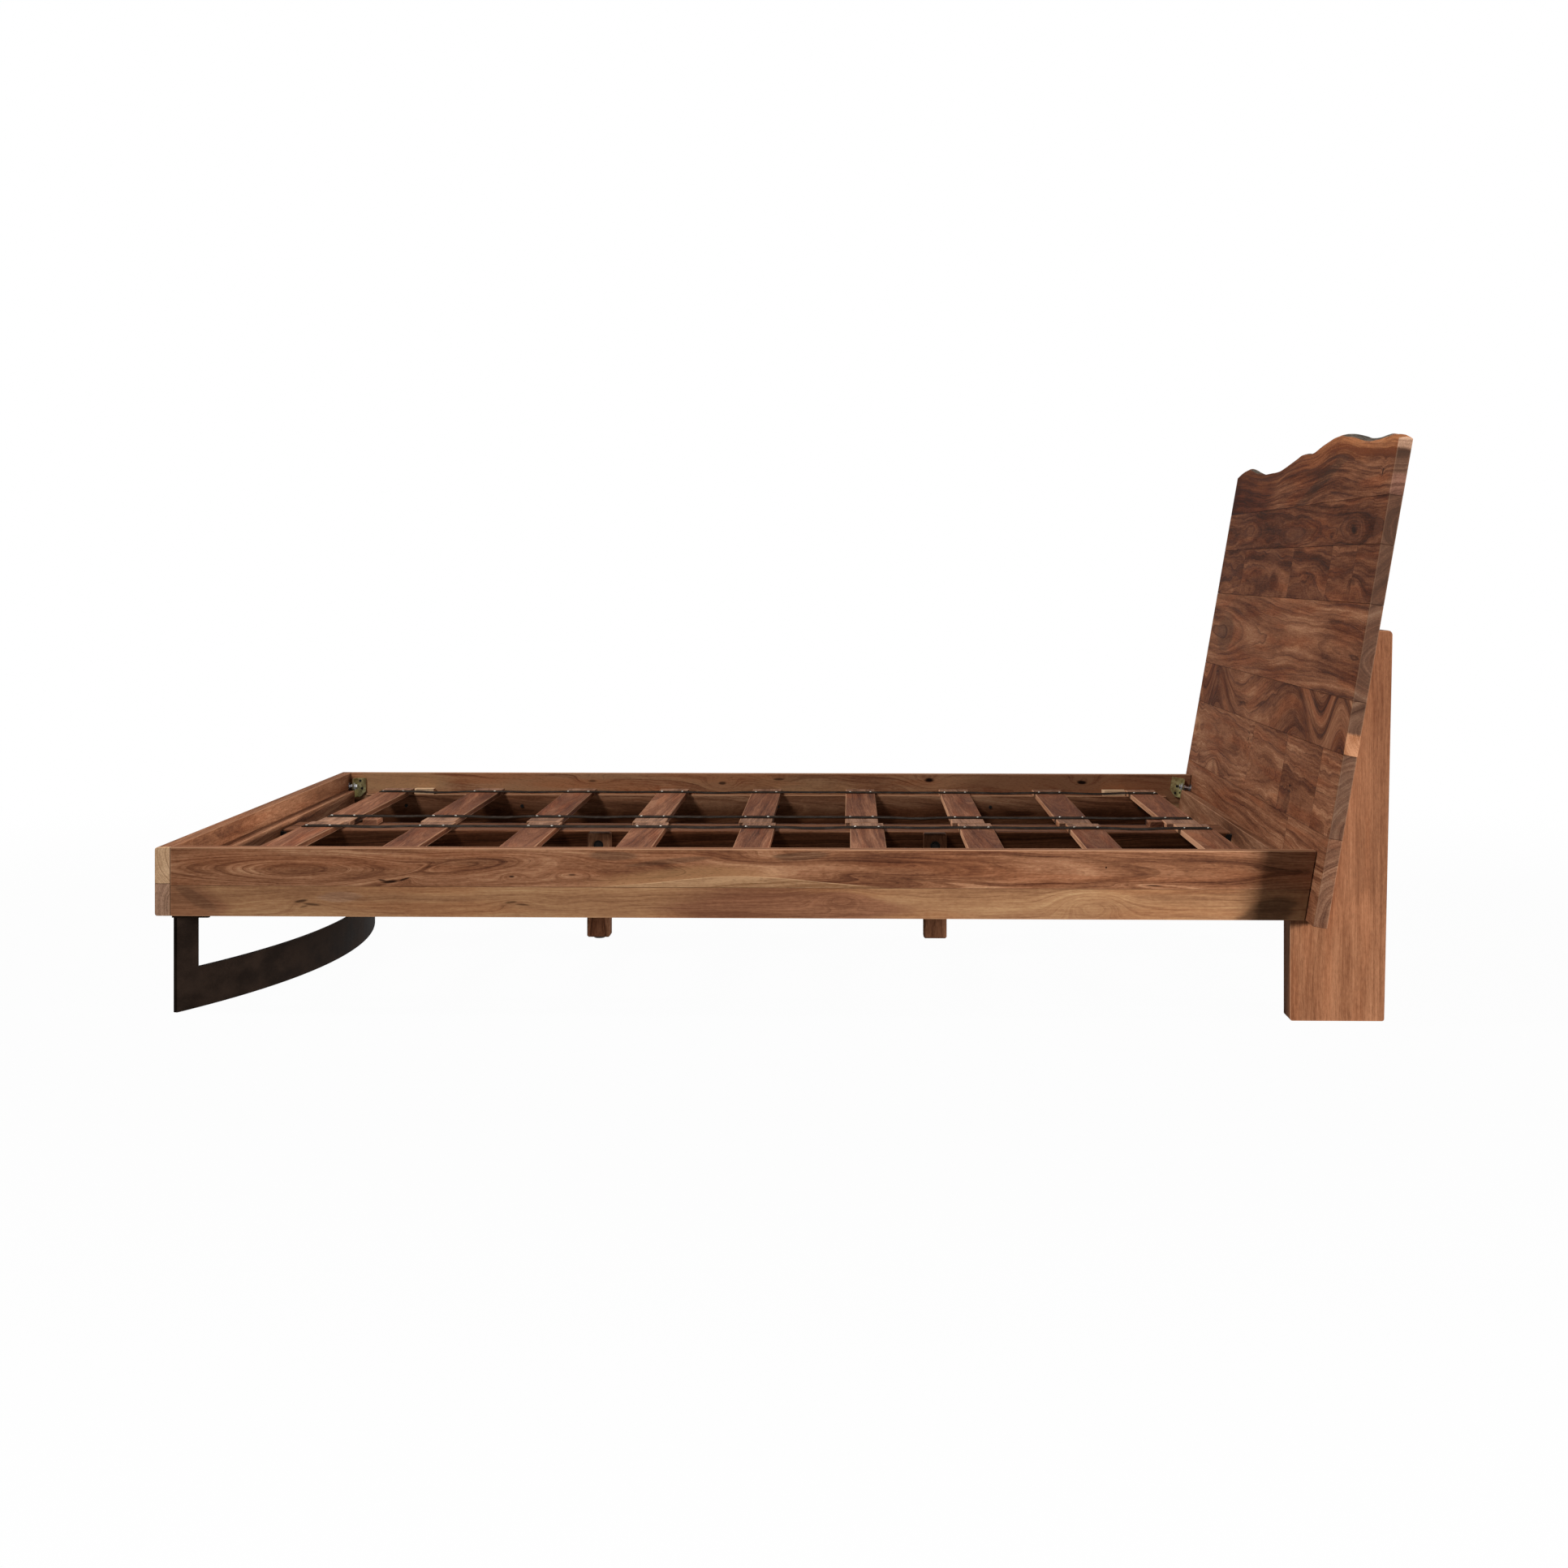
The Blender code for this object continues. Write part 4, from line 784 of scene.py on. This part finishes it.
# %% [markdown]
# ## Metals and moulded plastic
# The leg is rolled plate, blackened and waxed: nearly black, with brown clouds and a satin sheen. The corner
# brackets are zinc plated, with a yellow film that drifts from olive to gold. Their bolts are bright zinc, the
# bolts of the centre legs black oxide, and the glides moulded plastic.

# %% Finish metals and plastic
def metal_finish(name, dark, light, seed, rough, grain=(0.02,) * 3, gloss=0.5, metallic=1.0):
    material, place = new_finish(name)
    cloud = noise(place, grain, seed, detail=4, roughness=0.6)
    fine = noise(place, (0.0016,) * 3, seed + 3)
    scratch = noise(place, (0.03, 0.0006, 0.004), seed + 7, detail=1).rise(0.62, 0.72)
    colour = mix((cloud + fine.swing(0.4)).rise(0.3, 0.7), paint(*dark), paint(*light))
    roughness = rough + cloud.swing(0.22) + fine.swing(0.1) - scratch * 0.06
    height = fine * 0.7 + cloud * 0.5 - scratch * 0.3
    finish_surface(place, colour, roughness, height, 0.00004, gloss, metallic)
    return material


steel = metal_finish("blackened_steel", (22, 15, 11), (40, 30, 24), 51, 0.66, (0.09, 0.09, 0.05), 0.015, 0.0)
yellow_zinc = metal_finish("yellow_zinc", (126, 114, 76), (188, 178, 132), 52, 0.36, (0.012,) * 3)
bright_zinc = metal_finish("bright_zinc", (160, 160, 164), (206, 206, 208), 53, 0.3)
black_oxide = metal_finish("black_oxide", (15, 13, 12), (34, 29, 26), 54, 0.55, gloss=0.08, metallic=0.0)
nickel = metal_finish("nickel_tack", (140, 134, 124), (196, 190, 178), 55, 0.3)

black_plastic, place = new_finish("moulded_black_plastic")
grainy = noise(place, (0.0009,) * 3, 61)
dust = noise(place, (0.012,) * 3, 62, detail=3).rise(0.5, 0.75)
finish_surface(place, mix(dust * 0.5, paint(22, 21, 21), paint(58, 54, 50)),
               0.52 + grainy.swing(0.2) + dust * 0.1, grainy, 0.00006)

set_finish("foot_leg", steel)
for end in ("foot", "head"):
    set_finish(f"beam_hanger_{end}", black_oxide)
    for side in SIDES:
        set_finish(f"corner_bracket_{end}_{side}", yellow_zinc)
        set_finish(f"bracket_bolt_{end}_{side}", bright_zinc)
for number in (1, 2):
    set_finish(f"centre_leg_bolt_{number}", black_oxide)
    set_finish(f"levelling_glide_{number}", black_plastic)
print("five metals and one plastic finished")

# %% [markdown]
# ## Woven straps
# Two polypropylene straps hold each roll of slats. Woven tape is flat and finely ribbed, and between two slats it
# hangs by up to three millimetres. Each strap starts as a box as long as the plain solid and a little narrower.
# It is cut into short lengths, and the middle of every gap is pulled down with soft falloff.

# %% Helpers for modelling by hand
def focus(piece):
    """Selects one piece alone and makes it the active one."""
    bpy.ops.object.select_all(action="DESELECT")
    piece.select_set(True)
    bpy.context.view_layer.objects.active = piece


def pick(piece, kind, test):
    """In edit mode, picks only the verts, edges or faces whose middle passes the test."""
    mesh = bmesh.from_edit_mesh(piece.data)
    bpy.ops.mesh.select_all(action="DESELECT")
    bpy.ops.mesh.select_mode(type=kind[:-1].upper())
    for item in getattr(mesh, kind):
        corners = [item] if kind == "verts" else item.verts
        if test(sum((v.co for v in corners), Vector()) / len(corners), item):
            item.select_set(True)
    mesh.select_flush_mode()
    bmesh.update_edit_mesh(piece.data)


def edit(piece):
    """Opens a piece in edit mode with everything selected."""
    focus(piece)
    bpy.ops.object.mode_set(mode="EDIT")
    bpy.ops.mesh.select_all(action="SELECT")


def leave():
    bpy.ops.object.mode_set(mode="OBJECT")


def modify(piece, kind, **settings):
    """Adds a modifier and applies it."""
    bpy.context.view_layer.objects.active = piece
    modifier = piece.modifiers.new(kind.title(), kind)
    for name, value in settings.items():
        setattr(modifier, name, value)
    bpy.ops.object.modifier_apply(modifier=modifier.name)


print("helpers: focus, pick, edit, leave, modify")

# %% Weave the webbing finish
RIB, PICK = 0.0019, 0.0016  # widths of the ribs along the tape and of its cross threads
webbing, place = new_finish("woven_strap")
across, along = (place.node("SeparateXYZ", sockets={"Vector": place}, out=axis) for axis in "XY")
rib = (across * (math.tau / RIB)).math("SINE", across * (math.tau / RIB))
weft = (along * (math.tau / PICK)).math("SINE", along * (math.tau / PICK) + rib * 1.3)
weave = rib * 0.35 + weft * 0.5
fuzz = noise(place, (0.0008,) * 3, 71, detail=1)
dusty = noise(place, (0.05, 0.02, 0.02), 72, detail=3).rise(0.4, 0.72)
threads = (weave * 0.5 + 0.5) * 0.7 + fuzz * 0.3
colour = mix(threads, paint(22, 16, 12), paint(50, 39, 32))
colour = mix(dusty * 0.3, colour, paint(88, 78, 70))
finish_surface(place, colour, 0.78 + fuzz.swing(0.2), weave + fuzz * 0.4, 0.00022, gloss=0.01)
print("webbing: ribs every", RIB, "m, picks every", PICK, "m")

# %% Model the four straps
STRAPS = [(side, row) for side in SIDES for row in ("inner", "outer")]
TAPE_WIDTH, TAPE_EASE, STRAP_CUTS = 0.04, 0.0004, 187
SAG, WANDER, PULLED = 0.0022, 0.0012, 0.006


def slat_spans(side):
    """The slats' near and far edges along the bed, in order from the foot."""
    boxes = [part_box(f"slat_{side}_{number}") for number in range(1, SLAT_COUNT + 1)]
    return [(low.y, high.y) for low, high in boxes]


def pull(x, z, reach):
    """Moves what is picked, and its surroundings within reach by less and less."""
    bpy.ops.transform.translate(value=(x, 0, z), use_proportional_edit=True,
                                proportional_edit_falloff="SMOOTH", proportional_size=reach)


def hang_strap(node, side):
    low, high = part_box(node)
    strap = begin("woven_" + node, bpy.ops.mesh.primitive_cube_add, size=1,
                  location=(low + high) / 2, scale=(TAPE_WIDTH, high.y - low.y, high.z - low.z))
    edit(strap)
    pick(strap, "edges", lambda m, e: abs(m.y - (low.y + high.y) / 2) < 1e-5)
    bpy.ops.mesh.subdivide(number_cuts=STRAP_CUTS)
    spans = slat_spans(side)
    for number, (before, after) in enumerate(zip(spans, spans[1:])):
        middle, reach = (before[1] + after[0]) / 2, (after[0] - before[1]) / 2
        pick(strap, "verts", lambda m, v: abs(m.y - middle) < PULLED)
        pull(0, -SAG * (0.7 + 0.5 * math.sin(number * 1.9 + low.x * 7)), reach)
        pull(WANDER * math.sin(number * 2.7 + low.x * 5), 0, reach)
    leave()
    modify(strap, "BEVEL", width=TAPE_EASE, segments=2, limit_method="ANGLE")
    strap.data.materials.append(webbing)
    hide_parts(node)
    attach(strap, "slat_roll_" + side)
    print(strap.name, "lowest", round(min(v.co.z for v in strap.data.vertices), 4))


for side, row in STRAPS:
    hang_strap(f"strap_{side}_{row}", side)

# %% [markdown]
# ## Upholstery tacks
# Two domed tacks hold each strap on each slat. One is modelled: half a sphere, pressed flat, with its open rim
# drawn down to the tape. The others are copies with meshes of their own, joined strap by strap.

# %% Make one tack
TACK_RADIUS, TACK_HEIGHT, TACK_RIM, RIM_SHARE = 0.0027, 0.0016, 0.0003, 0.94
tack = begin("tack", bpy.ops.mesh.primitive_uv_sphere_add, segments=14, ring_count=8, radius=TACK_RADIUS,
             location=(0, 0, 0))
edit(tack)
bpy.ops.mesh.bisect(plane_co=(0, 0, 0), plane_no=(0, 0, 1), clear_inner=True)
bpy.ops.mesh.select_all(action="SELECT")
bpy.ops.transform.resize(value=(1, 1, TACK_HEIGHT / TACK_RADIUS), center_override=(0, 0, 0))
pick(tack, "edges", lambda m, e: e.is_boundary)
bpy.ops.mesh.extrude_region_move(TRANSFORM_OT_translate={"value": (0, 0, -TACK_RIM)})
bpy.ops.transform.resize(value=(RIM_SHARE, RIM_SHARE, 1), center_override=(0, 0, 0))
bpy.ops.mesh.edge_face_add()
leave()
bpy.ops.object.shade_smooth_by_angle(angle=math.radians(50))
tack.data.materials.append(nickel)
print("tack faces", len(tack.data.polygons))

# %% Copy small pieces to their places
def copies(master, name, places, body, turn=(0, 0, 0)):
    """Copies a piece from the origin to each place, and joins the copies into one that rides on a body."""
    made = []
    for spot in places:
        focus(master)
        bpy.ops.object.duplicate(linked=False)
        made.append(bpy.context.object)
        made[-1].rotation_euler, made[-1].location = turn, spot
    for copy in made:
        copy.select_set(True)
    bpy.context.view_layer.objects.active = made[0]
    bpy.ops.object.join()
    joined = bpy.context.object
    joined.name = joined.data.name = name
    bpy.ops.object.transform_apply(location=True, rotation=True, scale=True)
    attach(joined, body)
    print(name, "copies", len(places))


TACK_SPACING, TACK_WANDER = 0.049, 0.004
strap_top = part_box("strap_near_inner")[1].z
for side, row in STRAPS:
    low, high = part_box(f"strap_{side}_{row}")
    middle = (low.x + high.x) / 2
    spots = [(middle + TACK_WANDER * math.sin(start * 40), (start + end) / 2 + step * TACK_SPACING / 2,
              strap_top + TACK_RIM) for start, end in slat_spans(side) for step in (-1, 1)]
    copies(tack, f"tacks_{side}_{row}", spots, "slat_roll_" + side)
bpy.data.objects.remove(tack)

# %% [markdown]
# ## Slat stops
# Small offcuts are glued on the ledgers and the beam beside the first and last slats, so that the rolls can't
# creep along the bed. They are sawn blocks with eased edges: a box, one corner cut off with a bisect, and a
# small bevel all round. The two on the beam are lower, so that the strap above them hangs clear.

# %% Glue on the slat stops
LEDGER_STOP, BEAM_STOP = 0.013, 0.0118  # heights
STOP_CORNER, STOP_EASE, GLUE = 0.006, 0.0008, 0.0001
NEAR_SIDE, FAR_SIDE, BEAM_END = 0.002, 0.03, -0.04
ledger_far, ledger_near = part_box("side_ledger_far")[1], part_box("side_ledger_near")[0]
stop_base, foot_y = ledger_far.z + GLUE, cad_low.y
ON_FAR = (ledger_far.x - FAR_SIDE, ledger_far.x - NEAR_SIDE)
ON_NEAR = (ledger_near.x + NEAR_SIDE, ledger_near.x + FAR_SIDE)
ON_BEAM = (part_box("centre_beam")[0].x + NEAR_SIDE, BEAM_END)


def slat_stop(name, x, y, seed, shade, pale):
    """A block from x[0] to x[1] and, from the foot, y[0] to y[1], with one sawn corner."""
    y = [foot_y + y[0], foot_y + y[1]]
    height, wood = (BEAM_STOP, "slat") if x is ON_BEAM else (LEDGER_STOP, "tan")
    block = begin(name, bpy.ops.mesh.primitive_cube_add, size=1,
                  location=(sum(x) / 2, sum(y) / 2, stop_base + height / 2),
                  scale=(x[1] - x[0], y[1] - y[0], height))
    edit(block)
    bpy.ops.mesh.bisect(plane_co=(x[1] - STOP_CORNER, y[0], stop_base + height), plane_no=(1, -1, 0.4),
                        clear_outer=True, use_fill=True)
    leave()
    modify(block, "BEVEL", width=STOP_EASE, segments=2)
    grain = (Y, X) if y[1] - y[0] > x[1] - x[0] else (X, Y)
    wood_finish(name, *grain, wood, seed, pith=(1.2, 0.03), shade=shade,
                patches=((0.025, 0.014, 0.2, 0.2, pale, "cream"),))
    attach(block, "bed_frame")


for name, *rest in (("far_foot", ON_FAR, (0.19, 0.238), 81, 0.3, 1.0),
                    ("far_head", ON_FAR, (1.868, 1.923), 83, 0.4, 1.0),
                    ("near_foot", ON_NEAR, (0.18, 0.23), 85, 0.0, 0.0),
                    ("near_head", ON_NEAR, (1.88, 1.936), 87, 0.1, 0.0),
                    ("beam_head", ON_BEAM, (1.893, 1.9235), 88, 0.0, 0.0),
                    ("beam_foot", ON_BEAM, (0.2055, 0.238), 89, 0.1, 0.0)):
    slat_stop("stop_" + name, *rest)
print("six slat stops, the beam's lower by", round(LEDGER_STOP - BEAM_STOP, 4), "m")

# %% [markdown]
# ## Screws and bolts
# The ledgers and cleats are fixed with round-headed screws, the free plates of the brackets with smaller ones,
# and the steel leg's flanges with large ones. All heads are made alike: a short cylinder, its top drawn in and
# rounded over, and a cross cut into it by two thin blades with a Boolean. The shanks are hidden in the wood.

# %% Model a screw head with its cross recess
def screw_head(name, radius, height, finish):
    """A round screw head that sits on z 0 and points up."""
    head = begin(name, bpy.ops.mesh.primitive_cylinder_add, vertices=20, radius=radius, depth=height,
                 location=(0, 0, height / 2))
    edit(head)
    pick(head, "faces", lambda m, f: f.normal.z > 0.9)
    bpy.ops.mesh.inset(thickness=radius * 0.3)
    bpy.ops.transform.translate(value=(0, 0, height * 0.35))
    pick(head, "edges", lambda m, e: abs(m.z - height) < height * 0.05 and m.xy.length > radius * 0.8)
    bpy.ops.mesh.bevel(offset=radius * 0.16, segments=2)
    leave()
    for turn in (0, math.radians(90)):
        blade = begin("blade", bpy.ops.mesh.primitive_cube_add, size=1, location=(0, 0, height * 1.35),
                      rotation=(0, 0, turn), scale=(radius * 1.1, radius * 0.22, height))
        modify(head, "BOOLEAN", object=blade, operation="DIFFERENCE", solver="EXACT")
        bpy.data.objects.remove(blade)
    focus(head)
    bpy.ops.object.shade_smooth_by_angle(angle=math.radians(35))
    head.data.materials.append(finish)
    print(name, "faces", len(head.data.polygons))
    return head

# %% Drive the screws
SCREW_LEVEL, QUARTER, WAYS = 0.2265, math.radians(90), {"far": 1, "near": -1}
ALONG_LEDGER = (0.171, 0.455, 0.56, 1.08, 1.596, 1.957)


def drive(screw, name, places, turn):
    copies(screw, name, places, "bed_frame", turn)


screw = screw_head("ledger_screw", 0.0042, 0.0014, black_oxide)
for side, way in WAYS.items():
    drive(screw, f"ledger_screws_{side}", [(way * ledger_far.x, foot_y + y, SCREW_LEVEL) for y in ALONG_LEDGER],
          (0, way * QUARTER, 0))
face_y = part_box("foot_cleat")[1].y
drive(screw, "cleat_screws_foot", [(x, face_y, SCREW_LEVEL) for x in (-0.62, -0.31, 0.22, 0.6)], (-QUARTER, 0, 0))
face, lean = front_face("head_cleat")
drive(screw, "cleat_screws_head", [(x, *face.center.yz) for x in (-0.6, -0.28, 0.28, 0.6)], (QUARTER - lean, 0, 0))
bpy.data.objects.remove(screw)
print("the head cleat leans by", round(math.degrees(lean), 2), "degrees")

# %% Screw down the bracket plates and the leg's flanges
PLATE, FLANGE_BOTTOM, FLANGE_INSET = 0.0026, 0.1731, 0.03
BRACKET_SCREWS = {"foot": ((0.052, 0.2844), (0.0566, 0.266)),
                  "head": ((2.052, 0.2758), (2.047, 0.2592), (2.06, 0.26))}
screw = screw_head("bracket_screw", 0.0032, 0.0012, black_oxide)
for end, spots in BRACKET_SCREWS.items():
    for side, way in WAYS.items():
        low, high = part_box(f"corner_bracket_{end}_{side}")
        plate_x = (low.x if side == "far" else high.x) + way * PLATE
        drive(screw, f"bracket_screws_{end}_{side}", [(plate_x, foot_y + y, z) for y, z in spots],
              (0, way * QUARTER, 0))
bpy.data.objects.remove(screw)
bolt = screw_head("flange_bolt", 0.006, 0.0028, black_oxide)
low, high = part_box("foot_leg")
drive(bolt, "flange_bolts", [(way * (high.x - FLANGE_INSET), low.y + y, FLANGE_BOTTOM)
                             for way in (-1, 1) for y in (0.022, 0.056)], (math.pi, 0, 0))
bpy.data.objects.remove(bolt)

# %% Close the script: print the visual box
low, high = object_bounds()
print("visual box", [round(v, 4) for v in low], [round(v, 4) for v in high])
